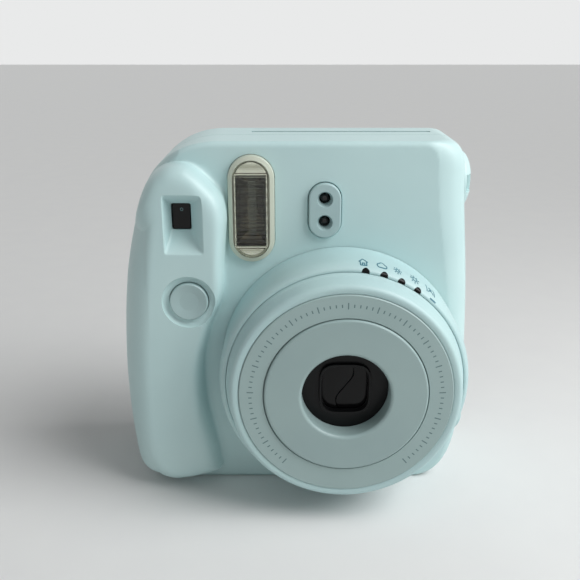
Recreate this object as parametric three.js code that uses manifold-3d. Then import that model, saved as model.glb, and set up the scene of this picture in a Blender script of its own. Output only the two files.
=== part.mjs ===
// Instant camera for mini film, built as the separate pieces it comes apart into.
// Millimetres, +Z up. X runs to the right seen from the front and Y from front to back.
// The origin is on the ground under the middle of the camera.
import * as THREE from 'three';
import { mergeVertices } from 'three/addons/utils/BufferGeometryUtils.js';
import Module from 'manifold-3d';

const wasm = await Module();
wasm.setup();

// ---------------------------------------------------------------- driving sizes

const WIDTH = 116;
const HEIGHT = 118.3;
const DEPTH = 68.2;
const BODY_DEPTH = 40.6;          // flat front face to back face
const SIDE_WAIST = 4.6;           // upper right side inside the widest point
const GRIP_HEIGHT = 9.5;          // grip front ahead of the flat front face
const WALL = 2;                   // moulded covers
const THIN_WALL = 1.4;            // inner mouldings
const GAP = 0.3;                  // between pieces that touch
const RUN = 0.35;                 // running clearance round what turns or slides

const LENS_X = 15.3;              // lens axis
const LENS_Z = 45.6;
const BARREL_R = 32.7;
const BARREL_WALL = 1.8;
const BARREL_FLANGE = 2.3;        // flange at the barrel's back end beyond its outside
const PLATE_EDGE = 2.9;           // lens cover plate inside the barrel's bore
const BARREL_TRAVEL = 16;
const DISC_R = 25;
const DISC_PROUD = 0.6;           // front disc ahead of the printed ring
const EYE_R = 12.9;               // hole through the front disc
const EYE_LIP = 1.1;
const DIAL_R = 36.8;
const RING_R = 39.5;
const RING_FRONT_SETBACK = 8.1;   // ring lip behind the foremost point
const LED_COUNT = 4;
const LED_R = 1.25;
const LED_FIRST_ANGLE = 81.7;
const LED_STEP_ANGLE = 8.6;

const FLASH_WIDTH = 14.6;
const FLASH_HEIGHT = 34;
const FLASH_PROUD = 2.4;
const SENSOR_WIDTH = 10.2;
const SENSOR_HEIGHT = 17.5;
const SENSOR_PROUD = 1.6;
const SENSOR_EYE_R = 2.5;
const FINDER_WINDOW_WIDTH = 6.2;
const FINDER_WINDOW_HEIGHT = 8.4;
const FINDER_DEPTH = 7;
const SHUTTER_R = 6.1;
const SHUTTER_DISH_R = 8.4;
const SHUTTER_TRAVEL = 1.5;
const POWER_R = 3.9;
const POWER_LOBE_R = 6.1;
const POWER_TRAVEL = 1.2;

const PACK_WIDTH = 63;            // film pack bay
const PACK_HEIGHT = 92.5;
const PACK_DEPTH = 16.5;
const PICTURE_WIDTH = 46;
const PICTURE_HEIGHT = 62;
const SLOT_WIDTH = 59.7;          // film exit
const SLOT_DEPTH = 2.4;
const ROLLER_R = 2.6;
const GEAR_MODULE = 0.5;
const GEAR_WIDTH = 1.9;
const ROLLER_TEETH = 11;
const IDLER_TEETH = 18;
const PINION_TEETH = 8;
const MOTOR_R = 6;
const MOTOR_LENGTH = 25;

const CELL_R = 7.25;              // AA cell
const CELL_LENGTH = 50.5;
const CELL_GAP = 1;               // between the two cells
const CELL_SIDE_ROOM = 4.75;      // cells inside the widest point of the grip
const TRAY_LIP = 2.05;            // tray's open edge inside the cells' outer side
const CELL_FRONT_ROOM = 1.75;     // front cell behind the flat front face
const DOOR_THICKNESS = 2.3;
const HINGE_PIN_R = 0.9;
const KNUCKLE_COUNT = 5;
const LATCH_TRAVEL = 3;
const COUNTER_R = 7.2;
const LUG_R = 9.6;
const LUG_HEIGHT = 4.4;

// ---------------------------------------------------------------- derived planes

const LEFT = -WIDTH / 2;
const RIGHT = WIDTH / 2;
const FOREMOST = -DEPTH / 2;
const BACK = DEPTH / 2;
const FACE = BACK - BODY_DEPTH;
const GRIP_FACE = FACE - GRIP_HEIGHT;
const PARTING = FACE + 15.5;
const INNER_BACK = BACK - WALL;

const TEXT_FACE = FOREMOST + DISC_PROUD;
const RING_FRONT = FOREMOST + RING_FRONT_SETBACK;
const RING_BACK = FACE - GAP;
const SHELF_BACK = FACE - 8;
const SHELF_FRONT = SHELF_BACK - 2.4;
const BARREL_LIP = 1.4;
const BARREL_BACK = SHELF_BACK + 1 + GAP + BARREL_TRAVEL + BARREL_LIP;
const COVER_PLATE_FRONT = FOREMOST + 3.5;
const COVER_PLATE_BACK = COVER_PLATE_FRONT + 0.8;
const LEAF_FRONT = COVER_PLATE_BACK + GAP;
const LEAF_THICKNESS = 0.6;
const SHUTTER_UNIT_FRONT = LEAF_FRONT + LEAF_THICKNESS + GAP;
const SHUTTER_UNIT_BACK = SHUTTER_UNIT_FRONT + 7.5;

const PACK_BACK = BACK - DOOR_THICKNESS - 1.3;
const PACK_FRONT = PACK_BACK - PACK_DEPTH;
const GATE_FRONT = PACK_FRONT - THIN_WALL;
const PACK_BOTTOM = 6.9;
const PACK_TOP = PACK_BOTTOM + PACK_HEIGHT;
const PACK_LEFT = LENS_X - PACK_WIDTH / 2;
const PACK_RIGHT = LENS_X + PACK_WIDTH / 2;
const FILM_Y = PACK_FRONT + 3;
const ROLLER_Z = HEIGHT - 11.8;
const ROLLER_PITCH_R = GEAR_MODULE * ROLLER_TEETH / 2;
const SIDE_INNER = RIGHT - SIDE_WAIST - WALL;
const SHAFT_END = SIDE_INNER - 2 * GAP;
const GEAR_X = SHAFT_END - 0.4 - GEAR_WIDTH;
const CHEEK_OUT = GEAR_X - GAP;

const FLASH_X = LENS_X - 29.1;
const FLASH_Z = HEIGHT - 20.85;
const SENSOR_X = LENS_X - 6.1;
const SENSOR_Z = HEIGHT - 21.35;
const FINDER_X = LEFT + 22.4;
const FINDER_Z = HEIGHT - 22.7;
const SHUTTER_X = LEFT + 24.4;
const SHUTTER_Z = 69.5;
const SHUTTER_DISH_DEPTH = 1.7;

const CELL_PITCH = 2 * CELL_R + CELL_GAP;
const CELL_X = LEFT + CELL_SIDE_ROOM + CELL_R;
const CELL_FRONT_Y = FACE + CELL_FRONT_ROOM + CELL_R;
const CELL_BACK_Y = CELL_FRONT_Y + CELL_PITCH;
const CELL_BOTTOM = 14;
const CELL_TOP = CELL_BOTTOM + CELL_LENGTH;
const TRAY_FLOOR_X = CELL_X + CELL_R + RUN;
const BOARD_X = TRAY_FLOOR_X + THIN_WALL + GAP;

const HINGE_X = PACK_RIGHT + 1.5;
const HINGE_Y = BACK - DOOR_THICKNESS;
const DOOR_LEFT = PACK_LEFT - 8.5;
const DOOR_BOTTOM = 7;
const DOOR_TOP = HEIGHT - 9;
const LATCH_Z = 62;

// ---------------------------------------------------------------- solids and placing

function withoutSlivers(index) {
  const kept = [];
  for (let i = 0; i < index.length; i += 3) {
    const [a, b, c] = [index[i], index[i + 1], index[i + 2]];
    if (a !== b && b !== c && c !== a) kept.push(a, b, c);
  }
  return kept;
}

function signedVolume(positions, index) {
  const corner = (i) => new THREE.Vector3().fromArray(positions, 3 * index[i]);
  let volume = 0;
  for (let i = 0; i < index.length; i += 3) {
    volume += corner(i).dot(corner(i + 1).cross(corner(i + 2)));
  }
  return volume / 6;
}

// A closed three.js geometry as a solid for joining and cutting.
function solid(geometry) {
  const bare = geometry.clone();
  bare.deleteAttribute('normal');
  bare.deleteAttribute('uv');
  const merged = mergeVertices(bare, 1e-4);
  const positions = new Float32Array(merged.attributes.position.array);
  const index = withoutSlivers(merged.index.array);
  if (signedVolume(positions, index) < 0) index.reverse();
  const mesh = new wasm.Mesh({ numProp: 3, vertProperties: positions, triVerts: new Uint32Array(index) });
  return new wasm.Manifold(mesh);
}

function geometryOf(manifold) {
  const mesh = manifold.getMesh();
  const geometry = new THREE.BufferGeometry();
  geometry.setAttribute('position', new THREE.BufferAttribute(new Float32Array(mesh.vertProperties), 3));
  geometry.setIndex(new THREE.BufferAttribute(new Uint32Array(mesh.triVerts), 1));
  geometry.computeVertexNormals();
  return geometry;
}

const joined = (...solids) => solids.reduce((whole, next) => whole.add(next));
const cut = (body, ...tools) => tools.reduce((left, tool) => left.subtract(tool), body);

const TO_Y = new THREE.Matrix4().makeRotationX(Math.PI / 2);
const TO_X = new THREE.Matrix4().makeBasis(
  new THREE.Vector3(0, 1, 0), new THREE.Vector3(0, 0, 1), new THREE.Vector3(1, 0, 0));

function prism(shape, length, segments) {
  return new THREE.ExtrudeGeometry(shape, { depth: length, bevelEnabled: false, curveSegments: segments });
}

// A front-view outline (x, z) filled from one depth to another.
function alongY(shape, front, back, segments = 3) {
  return solid(prism(shape, back - front, segments).applyMatrix4(TO_Y).translate(0, back, 0));
}

// A side-view outline (y, z) filled from left to right.
function alongX(shape, left, right, segments = 3) {
  return solid(prism(shape, right - left, segments).applyMatrix4(TO_X).translate(left, 0, 0));
}

function box(left, right, front, back, bottom, top) {
  const geometry = new THREE.BoxGeometry(right - left, back - front, top - bottom);
  return solid(geometry.translate((left + right) / 2, (front + back) / 2, (bottom + top) / 2));
}

// Profiles of (radius, place along the axis): one that leaves the axis is closed on itself.
function turnPoints(profile) {
  const ends = [profile[0], profile.at(-1)];
  const onAxis = ends.every(([r]) => r === 0);
  return [...profile, ...(onAxis ? [] : [profile[0]])].map(([r, along]) => new THREE.Vector2(r, along));
}

// A profile turned round an axis that runs along Y.
function turnedY(profile, x, z, segments = 48) {
  const points = turnPoints(profile);
  return solid(new THREE.LatheGeometry(points, segments).translate(x, 0, z));
}

function rodY(radius, front, back, x, z, segments = 24) {
  return turnedY([[0, front], [radius, front], [radius, back], [0, back]], x, z, segments);
}

function turnedX(profile, y, z, segments = 24) {
  const points = turnPoints(profile);
  const geometry = new THREE.LatheGeometry(points, segments).rotateZ(-Math.PI / 2);
  return solid(geometry.translate(0, y, z));
}

function rodX(radius, left, right, y, z, segments = 12) {
  return turnedX([[0, left], [radius, left], [radius, right], [0, right]], y, z, segments);
}

function turnedZ(profile, x, y, segments = 24) {
  const points = turnPoints(profile);
  return solid(new THREE.LatheGeometry(points, segments).rotateX(Math.PI / 2).translate(x, y, 0));
}

function rodZ(radius, bottom, top, x, y, segments = 12) {
  return turnedZ([[0, bottom], [radius, bottom], [radius, top], [0, top]], x, y, segments);
}

function roundedRect(left, right, bottom, top, radius) {
  const shape = new THREE.Shape();
  shape.moveTo(left + radius, bottom);
  shape.lineTo(right - radius, bottom);
  shape.absarc(right - radius, bottom + radius, radius, -Math.PI / 2, 0);
  shape.lineTo(right, top - radius);
  shape.absarc(right - radius, top - radius, radius, 0, Math.PI / 2);
  shape.lineTo(left + radius, top);
  shape.absarc(left + radius, top - radius, radius, Math.PI / 2, Math.PI);
  shape.lineTo(left, bottom + radius);
  shape.absarc(left + radius, bottom + radius, radius, Math.PI, 1.5 * Math.PI);
  return shape;
}

function stadium(x, z, width, height) {
  return roundedRect(x - width / 2, x + width / 2, z - height / 2, z + height / 2, width / 2 - 0.01);
}

function withHole(shape, hole) {
  shape.holes.push(hole);
  return shape;
}

function polygon(points) {
  return new THREE.Shape(points.map(([x, y]) => new THREE.Vector2(x, y)));
}

// Loops of equal length at given depths, skinned, and capped by fans from their middles.
function loft(loops, depths) {
  const count = loops[0].length;
  const positions = loops.flatMap((loop, s) => loop.flatMap((p) => [p.x, depths[s], p.y]));
  const index = [];
  for (let s = 0; s + 1 < loops.length; s += 1) {
    for (let i = 0; i < count; i += 1) {
      const a = s * count + i;
      const b = s * count + (i + 1) % count;
      index.push(a, b, a + count, b, b + count, a + count);
    }
  }
  for (const [row, depth] of [[0, depths[0]], [loops.length - 1, depths.at(-1)]]) {
    const middle = loops[row].reduce((sum, p) => sum.add(p), new THREE.Vector2()).divideScalar(count);
    const hub = positions.length / 3;
    positions.push(middle.x, depth, middle.y);
    for (let i = 0; i < count; i += 1) {
      const rim = [row * count + i, row * count + (i + 1) % count];
      index.push(hub, ...(row === 0 ? rim.reverse() : rim));
    }
  }
  const geometry = new THREE.BufferGeometry();
  geometry.setAttribute('position', new THREE.Float32BufferAttribute(positions, 3));
  geometry.setIndex(index);
  return solid(geometry);
}

// A counterclockwise loop moved inwards along its corner normals.
function inset(loop, distance) {
  return loop.map((point, i) => {
    const before = loop[(i + loop.length - 1) % loop.length];
    const after = loop[(i + 1) % loop.length];
    const inA = new THREE.Vector2(before.y - point.y, point.x - before.x).normalize();
    const inB = new THREE.Vector2(point.y - after.y, after.x - point.x).normalize();
    const middle = inA.clone().add(inB).normalize();
    return point.clone().addScaledVector(middle, distance / Math.max(middle.dot(inA), 0.5));
  });
}

function mixed(from, to, share) {
  return from.map((point, i) => point.clone().lerp(to[i], share));
}

const radians = THREE.MathUtils.degToRad;

// A point at an angle and radius round the lens axis, as (x, z).
function roundLens(radius, degrees) {
  return [LENS_X + radius * Math.cos(radians(degrees)), LENS_Z + radius * Math.sin(radians(degrees))];
}

// ---------------------------------------------------------------- outer form

const leftUpper = new THREE.CubicBezierCurve(
  new THREE.Vector2(LEFT + 9.3, HEIGHT - 15.7), new THREE.Vector2(LEFT + 4.5, HEIGHT - 31.5),
  new THREE.Vector2(LEFT, 66), new THREE.Vector2(LEFT, 46));
const leftLower = new THREE.CubicBezierCurve(
  new THREE.Vector2(LEFT, 46), new THREE.Vector2(LEFT, 34),
  new THREE.Vector2(LEFT + 0.4, 24), new THREE.Vector2(LEFT + 1.2, 17));
const leftFoot = new THREE.CubicBezierCurve(
  new THREE.Vector2(LEFT + 1.2, 17), new THREE.Vector2(LEFT + 2.4, 6),
  new THREE.Vector2(LEFT + 7, 0), new THREE.Vector2(LEFT + 16, 0));
const leftShoulder = new THREE.CubicBezierCurve(
  new THREE.Vector2(LEFT + 34, HEIGHT), new THREE.Vector2(LEFT + 22, HEIGHT),
  new THREE.Vector2(LEFT + 14, HEIGHT - 6.3), new THREE.Vector2(LEFT + 9.3, HEIGHT - 15.7));

// The body seen from the front, counterclockwise: round bottom corners, sides that
// swell below the middle, a waisted upper right side and a long left shoulder.
function bodyOutline(divisions) {
  const path = new THREE.Path();
  path.moveTo(LEFT + 16, 0);
  path.lineTo(RIGHT - 16, 0);
  path.bezierCurveTo(RIGHT - 7, 0, RIGHT - 3, 8, RIGHT - 1.4, 18);
  path.bezierCurveTo(RIGHT - 0.3, 25, RIGHT, 32, RIGHT, 42);
  path.bezierCurveTo(RIGHT, HEIGHT - 46.3, RIGHT - 4, HEIGHT - 36.3, RIGHT - SIDE_WAIST, HEIGHT - 14.3);
  path.bezierCurveTo(RIGHT - SIDE_WAIST, HEIGHT - 5.3, RIGHT - 8, HEIGHT, RIGHT - 14.5, HEIGHT);
  path.lineTo(LEFT + 34, HEIGHT);
  path.curves.push(leftShoulder, leftUpper, leftLower, leftFoot);
  return path.getPoints(divisions).slice(0, -1);
}

// Front and back edges are rounded as quarter ellipses in a few steps.
function bodySolid(offset) {
  const frontRound = 3.6;
  const backRound = 8;
  const inside = offset > 0;
  const loop = bodyOutline(inside ? 3 : 4);
  const frontSteps = inside ? 1 : 2;
  const backSteps = inside ? 2 : 3;
  const loops = [];
  const depths = [];
  for (let step = 0; step <= frontSteps; step += 1) {
    const turn = radians(90 * step / frontSteps);
    loops.push(inset(loop, offset + frontRound * (1 - Math.sin(turn))));
    depths.push(FACE + offset + frontRound * (1 - Math.cos(turn)));
  }
  for (let step = 0; step <= backSteps; step += 1) {
    const turn = radians(90 * step / backSteps);
    loops.push(inset(loop, offset + backRound * (1 - Math.cos(turn))));
    depths.push(BACK - offset - backRound * (1 - Math.sin(turn)));
  }
  return loft(loops, depths);
}

// Matched points round the grip: at its root inside the body, and at its front face.
// The inner edge bends round the lens, and its lower part is a wide slope.
function gripLoops(pointsPerNode) {
  const root = [
    [LENS_X - 41.3, HEIGHT - 11.4], [LENS_X - 36.8, HEIGHT - 18], [LENS_X - 36.1, HEIGHT - 32],
    [LENS_X - 36.4, 70], [LENS_X - 40.6, 59], [LENS_X - 43.2, 46], [LENS_X - 41.6, 31],
    [LENS_X - 36, 12], [LENS_X - 34.5, 0.3], [LEFT + 18, 0.3],
  ];
  const face = [
    [LENS_X - 46.4, HEIGHT - 17.5], [LENS_X - 42.6, HEIGHT - 22.5], [LENS_X - 41.2, HEIGHT - 34],
    [LENS_X - 41.7, 71], [LENS_X - 46.5, 59], [LENS_X - 50, 46], [LENS_X - 51.5, 32],
    [LENS_X - 52, 19], [LENS_X - 53.5, 10], [LEFT + 15, 9],
  ];
  const outerRoot = [
    leftFoot.getPoint(0.5), leftLower.getPoint(1), leftUpper.getPoint(1), leftUpper.getPoint(0.5),
    leftUpper.getPoint(0), leftShoulder.getPoint(0.55), new THREE.Vector2(LEFT + 24.5, HEIGHT - 5.6),
  ].map((p) => [p.x + 0.3, p.y - 0.1]);
  const outerFace = [
    [LEFT + 10.5, 12.5], [LEFT + 9, 22], [LEFT + 9, 46], [LEFT + 11.5, 76],
    [LEFT + 16.3, HEIGHT - 20], [LEFT + 20, HEIGHT - 15], [LEFT + 25, HEIGHT - 14.3],
  ];
  const smooth = (points) => {
    const nodes = points.map(([x, z]) => new THREE.Vector3(x, z, 0));
    const curve = new THREE.CatmullRomCurve3(nodes, true, 'centripetal');
    const ring = curve.getPoints(nodes.length * pointsPerNode);
    return ring.slice(0, -1).map((p) => new THREE.Vector2(p.x, Math.max(p.y, 0.05))).reverse();
  };
  return [smooth([...root, ...outerRoot]), smooth([...face, ...outerFace])];
}

function gripSolid(offset) {
  const inside = offset > 0;
  const steps = inside ? 2 : 4;
  const [root, face] = gripLoops(inside ? 1 : 2);
  const rootDepth = FACE + 8.5;
  const faceDepth = GRIP_FACE + offset;
  const loops = [inset(root, offset)];
  const depths = [rootDepth];
  for (let step = 1; step <= steps; step += 1) {
    const turn = radians(90 * step / steps);
    loops.push(inset(mixed(root, face, 1 - Math.cos(turn)), offset));
    depths.push(rootDepth + (faceDepth - rootDepth) * Math.sin(turn));
  }
  return loft(loops.reverse(), depths.reverse());
}

const outerForm = joined(bodySolid(0), gripSolid(0));
const innerForm = joined(bodySolid(WALL), gripSolid(WALL));
const roomForChassis = joined(bodySolid(WALL + GAP), gripSolid(WALL + GAP));

// ---------------------------------------------------------------- battery door cut

function batteryDoorShape(grow) {
  const front = CELL_FRONT_Y - CELL_R - grow;
  const back = CELL_BACK_Y + CELL_R + grow;
  return roundedRect(front, back, CELL_BOTTOM - 2 - grow, CELL_TOP + 5 + grow, 5 + grow);
}

const batteryDoorReach = (grow) => alongX(batteryDoorShape(grow), LEFT - 5, CELL_X);

// ---------------------------------------------------------------- front cover

function finderWindowShape(shrink) {
  const halfWidth = FINDER_WINDOW_WIDTH / 2 - shrink;
  const halfHeight = FINDER_WINDOW_HEIGHT / 2 - shrink;
  return roundedRect(FINDER_X - halfWidth, FINDER_X + halfWidth,
    FINDER_Z - halfHeight, FINDER_Z + halfHeight, 0.6);
}

function finderPocket() {
  const mouth = roundedRect(FINDER_X - 4.2, FINDER_X + 6.3, HEIGHT - 31.9, HEIGHT - 15.4, 1);
  const floor = finderWindowShape(0);
  const points = (shape) => shape.getPoints(3).slice(0, -1);
  const ahead = mixed(points(floor), points(mouth), 1.5);
  return loft([ahead, points(floor)], [GRIP_FACE - FINDER_DEPTH / 2, GRIP_FACE + FINDER_DEPTH]);
}

// Inside of the pocket's own walls, which stand behind the grip face.
function finderPocketWalls() {
  const wide = roundedRect(FINDER_X - 6.4, FINDER_X + 8.3, HEIGHT - 33.9, HEIGHT - 13.6, 1);
  return alongY(wide, GRIP_FACE + 1, GRIP_FACE + FINDER_DEPTH + THIN_WALL);
}

function shutterDish() {
  const profile = [[0, GRIP_FACE + SHUTTER_DISH_DEPTH]];
  for (let step = 1; step <= 3; step += 1) {
    const r = SHUTTER_R + (SHUTTER_DISH_R - SHUTTER_R) * step / 3;
    const rise = SHUTTER_DISH_DEPTH * (1 - Math.cos(radians(30 * step)));
    profile.push([r, GRIP_FACE + SHUTTER_DISH_DEPTH - rise]);
  }
  profile.push([SHUTTER_DISH_R, GRIP_FACE - 5], [0, GRIP_FACE - 5]);
  return turnedY(profile, SHUTTER_X, SHUTTER_Z, 16);
}

const [POWER_X, POWER_Z] = roundLens(RING_R + 0.9, -28.2);
const POWER_SEAT = FACE - 5.5;
const POWER_CAP_BACK = POWER_SEAT + 1.8;
const POWER_PIN_R = 1.5;

function frontCover() {
  const half = box(LEFT - 1, RIGHT + 1, FOREMOST, PARTING, -1, HEIGHT + 1);
  const shell = cut(outerForm.intersect(half), innerForm);
  const pocketWalls = finderPocketWalls().intersect(outerForm);
  const buttonBoss = rodY(SHUTTER_DISH_R + 1.2, GRIP_FACE + 1, GRIP_FACE + 5.5, SHUTTER_X, SHUTTER_Z, 16);
  const bossInside = buttonBoss.intersect(outerForm);
  return cut(joined(shell, pocketWalls, bossInside),
    finderPocket(),
    alongY(finderWindowShape(0), GRIP_FACE, GRIP_FACE + FINDER_DEPTH + 5, 3),
    shutterDish(),
    rodY(SHUTTER_R + RUN, GRIP_FACE - 5, GRIP_FACE + 4, SHUTTER_X, SHUTTER_Z, 16),
    rodY(SHUTTER_R + 1.4, GRIP_FACE + 3.5, GRIP_FACE + 9, SHUTTER_X, SHUTTER_Z, 16),
    rodY(BARREL_R + BARREL_FLANGE + 2 * GAP, FACE - 3, FACE + WALL + 2, LENS_X, LENS_Z, LENS_SIDES),
    alongY(stadium(FLASH_X, FLASH_Z, FLASH_WIDTH + 2 * GAP, FLASH_HEIGHT + 2 * GAP), FACE - 5, FACE + 5, 2),
    alongY(stadium(SENSOR_X, SENSOR_Z, SENSOR_WIDTH + 2 * GAP, SENSOR_HEIGHT + 2 * GAP),
      FACE - 5, FACE + 5, 2),
    rodY(POWER_PIN_R + RUN, FACE - 3, FACE + WALL + 2, POWER_X, POWER_Z, 12),
    lugSeatCut(),
    batteryDoorReach(GAP));
}

// ---------------------------------------------------------------- rear cover and film door

function doorShape(grow) {
  return roundedRect(DOOR_LEFT - grow, HINGE_X + grow, DOOR_BOTTOM - grow, DOOR_TOP + grow, 4);
}

const KNUCKLE_BOTTOM = DOOR_BOTTOM + 11;
const KNUCKLE_TOP = DOOR_TOP - 21;
const KNUCKLE_PITCH = (KNUCKLE_TOP - KNUCKLE_BOTTOM) / KNUCKLE_COUNT;
const KNUCKLE_R = DOOR_THICKNESS;
const HINGE_ROOM = 0.7;
const bodyKnuckles = [1, 3];

function knuckleSpan(i, gap) {
  return [KNUCKLE_BOTTOM + i * KNUCKLE_PITCH + gap, KNUCKLE_BOTTOM + (i + 1) * KNUCKLE_PITCH - gap];
}

function hingeChannel() {
  return box(HINGE_X - 3, HINGE_X + KNUCKLE_R + HINGE_ROOM, HINGE_Y - KNUCKLE_R - GAP, BACK + 1,
    DOOR_BOTTOM - GAP, DOOR_TOP + GAP);
}

// A body knuckle and the web that carries it from the side of the rear cover.
function bodyKnuckle(i) {
  const [bottom, top] = knuckleSpan(i, GAP / 2);
  const web = box(HINGE_X, HINGE_X + KNUCKLE_R + 2, HINGE_Y - KNUCKLE_R, HINGE_Y, bottom, top);
  return joined(rodZ(KNUCKLE_R, bottom, top, HINGE_X, HINGE_Y), web);
}

const EYEPIECE_WIDTH = 13;
const EYEPIECE_HEIGHT = 11;
const EYEPIECE_RIM = 2.6;

function eyepieceShape(shrink, radius) {
  const halfWidth = EYEPIECE_WIDTH / 2 - shrink;
  const halfHeight = EYEPIECE_HEIGHT / 2 - shrink;
  return roundedRect(FINDER_X - halfWidth, FINDER_X + halfWidth,
    FINDER_Z - halfHeight, FINDER_Z + halfHeight, radius);
}

function filmSlot() {
  return box(LENS_X - SLOT_WIDTH / 2, LENS_X + SLOT_WIDTH / 2,
    FILM_Y - SLOT_DEPTH / 2, FILM_Y + SLOT_DEPTH / 2, HEIGHT - 4, HEIGHT + 1);
}

// Ribs on the back wall that the battery tray rests against.
function trayRibs() {
  const ribs = [CELL_BOTTOM + 6, CELL_TOP - 6].map((z) => (
    box(CELL_X - 5, CELL_X + 4, CELL_BACK_Y + CELL_R + 2 * GAP + THIN_WALL, INNER_BACK + 0.5, z, z + 1.6)));
  return joined(...ribs);
}

const LUG_SEAT_X = RIGHT - SIDE_WAIST - 1.2;
const LUG_Y = FACE + 16;
const LUG_Z = HEIGHT - 14.5;
const LUG_EYE = 2.9;

function strapLug() {
  const rim = LUG_SEAT_X;
  const profile = [[0, rim]];
  for (let step = 0; step <= 4; step += 1) {
    const turn = radians(22.5 * step);
    profile.push([LUG_R * Math.cos(turn), rim + 1.2 + (LUG_HEIGHT - 0.2) * Math.sin(turn) ** 0.9]);
  }
  profile.splice(1, 0, [LUG_R, rim]);
  const dome = turnedX(profile, LUG_Y, LUG_Z, 20);
  const slit = (left, right, front, back) => (
    box(left, right, front, back, LUG_Z - LUG_EYE, LUG_Z + LUG_EYE));
  const eye = slit(RIGHT - 3.2, RIGHT - 1.5, LUG_Y - LUG_R, LUG_Y + LUG_R);
  const backGroove = slit(RIGHT - 3.2, RIGHT + 1, LUG_Y + 2.2, LUG_Y + LUG_R + 1);
  const frontGroove = slit(RIGHT - 3.2, RIGHT + 1, LUG_Y - LUG_R - 1, LUG_Y - 2.2);
  return cut(dome, eye, backGroove, frontGroove);
}

function lugSeatCut() {
  return rodX(LUG_R + GAP, LUG_SEAT_X - GAP, RIGHT + 2, LUG_Y, LUG_Z, 20);
}

function rearCover() {
  const half = box(LEFT - 1, RIGHT + 1, PARTING + GAP, BACK + 1, -1, HEIGHT + 1);
  const shell = cut(outerForm.intersect(half), innerForm);
  const backWall = box(HINGE_X, HINGE_X + KNUCKLE_R + 5, HINGE_Y - KNUCKLE_R, BACK, DOOR_BOTTOM, DOOR_TOP);
  const hingePost = backWall.intersect(outerForm);
  const body = cut(joined(shell, hingePost),
    alongY(doorShape(GAP), INNER_BACK - 2, BACK + 1),
    hingeChannel(),
    filmSlot(),
    lugSeatCut(),
    alongY(eyepieceShape(-GAP, 2), INNER_BACK - 2, BACK + 1, 2),
    batteryDoorReach(GAP));
  const knuckles = bodyKnuckles.map((i) => bodyKnuckle(i));
  return cut(joined(body, ...knuckles, trayRibs()),
    rodZ(HINGE_PIN_R + GAP, KNUCKLE_BOTTOM - 1, KNUCKLE_TOP + 1, HINGE_X, HINGE_Y));
}

const WINDOW_WIDTH = 14;
const WINDOW_HEIGHT = 40;
const WINDOW_Z = 54;
const COUNTER_WINDOW = 5.2;
const COUNTER_X = PACK_LEFT - 4.6;
const COUNTER_AXIS_X = COUNTER_X - 5;
const COUNTER_Z = 22;
const COUNTER_FRONT = PACK_BACK - 1.6;

function doorWindowShape(grow) {
  const halfWidth = WINDOW_WIDTH / 2 + grow;
  const halfHeight = WINDOW_HEIGHT / 2 + grow;
  return roundedRect(LENS_X - halfWidth, LENS_X + halfWidth, WINDOW_Z - halfHeight, WINDOW_Z + halfHeight, 3);
}

function counterWindowShape(grow) {
  const half = COUNTER_WINDOW / 2 + grow;
  return roundedRect(COUNTER_X - half, COUNTER_X + half, COUNTER_Z - half, COUNTER_Z + half, 0.9);
}

function filmDoor() {
  const inner = BACK - DOOR_THICKNESS;
  const plate = alongY(doorShape(0), inner, BACK).intersect(outerForm);
  const frameOut = roundedRect(PACK_LEFT + 1, PACK_RIGHT - 1.6, PACK_BOTTOM + 1.5, PACK_TOP - 1.5, 3);
  const frameIn = roundedRect(PACK_LEFT + 2.2, PACK_RIGHT - 2.8, PACK_BOTTOM + 2.7, PACK_TOP - 2.7, 2);
  const lightRib = alongY(withHole(frameOut, frameIn), inner - 1.6, inner + 0.5, 2);
  const ribHeights = [0.25, 0.5, 0.75].map((share) => PACK_BOTTOM + share * PACK_HEIGHT);
  const ribs = ribHeights.map((z) => box(PACK_LEFT + 1.5, PACK_RIGHT - 2, inner - 1, inner + 0.5, z, z + 1));
  const knuckles = [0, 2, 4].map((i) => rodZ(KNUCKLE_R, ...knuckleSpan(i, GAP / 2), HINGE_X, HINGE_Y));
  const bodyKnuckleRoom = bodyKnuckles.map((i) => box(HINGE_X - KNUCKLE_R - GAP, HINGE_X + 5,
    inner - 3, BACK + 1, ...knuckleSpan(i, -GAP / 2)));
  return cut(joined(cut(joined(plate, lightRib, ...ribs), ...bodyKnuckleRoom), ...knuckles),
    rodZ(HINGE_PIN_R + GAP, KNUCKLE_BOTTOM - 1, KNUCKLE_TOP + 1, HINGE_X, HINGE_Y),
    alongY(doorWindowShape(GAP), inner - 3, BACK + 1, 2),
    alongY(counterWindowShape(GAP), inner - 3, BACK + 1, 2),
    latchPocket());
}

const LATCH_WIDTH = 6;
const LATCH_HALF_HEIGHT = 9;
const LATCH_STEM_HALF = 6;
const LATCH_SINK = 1.4;

function latchPocket() {
  const slot = roundedRect(DOOR_LEFT - 1, DOOR_LEFT + LATCH_WIDTH + LATCH_TRAVEL + GAP,
    LATCH_Z - LATCH_HALF_HEIGHT, LATCH_Z + LATCH_HALF_HEIGHT, 0.9);
  return joined(
    alongY(slot, BACK - LATCH_SINK, BACK + 1, 2),
    box(DOOR_LEFT - 1, DOOR_LEFT + 4 + LATCH_TRAVEL, BACK - DOOR_THICKNESS - 3, BACK + 1,
      LATCH_Z - LATCH_STEM_HALF - GAP, LATCH_Z + LATCH_STEM_HALF + GAP));
}

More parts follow.
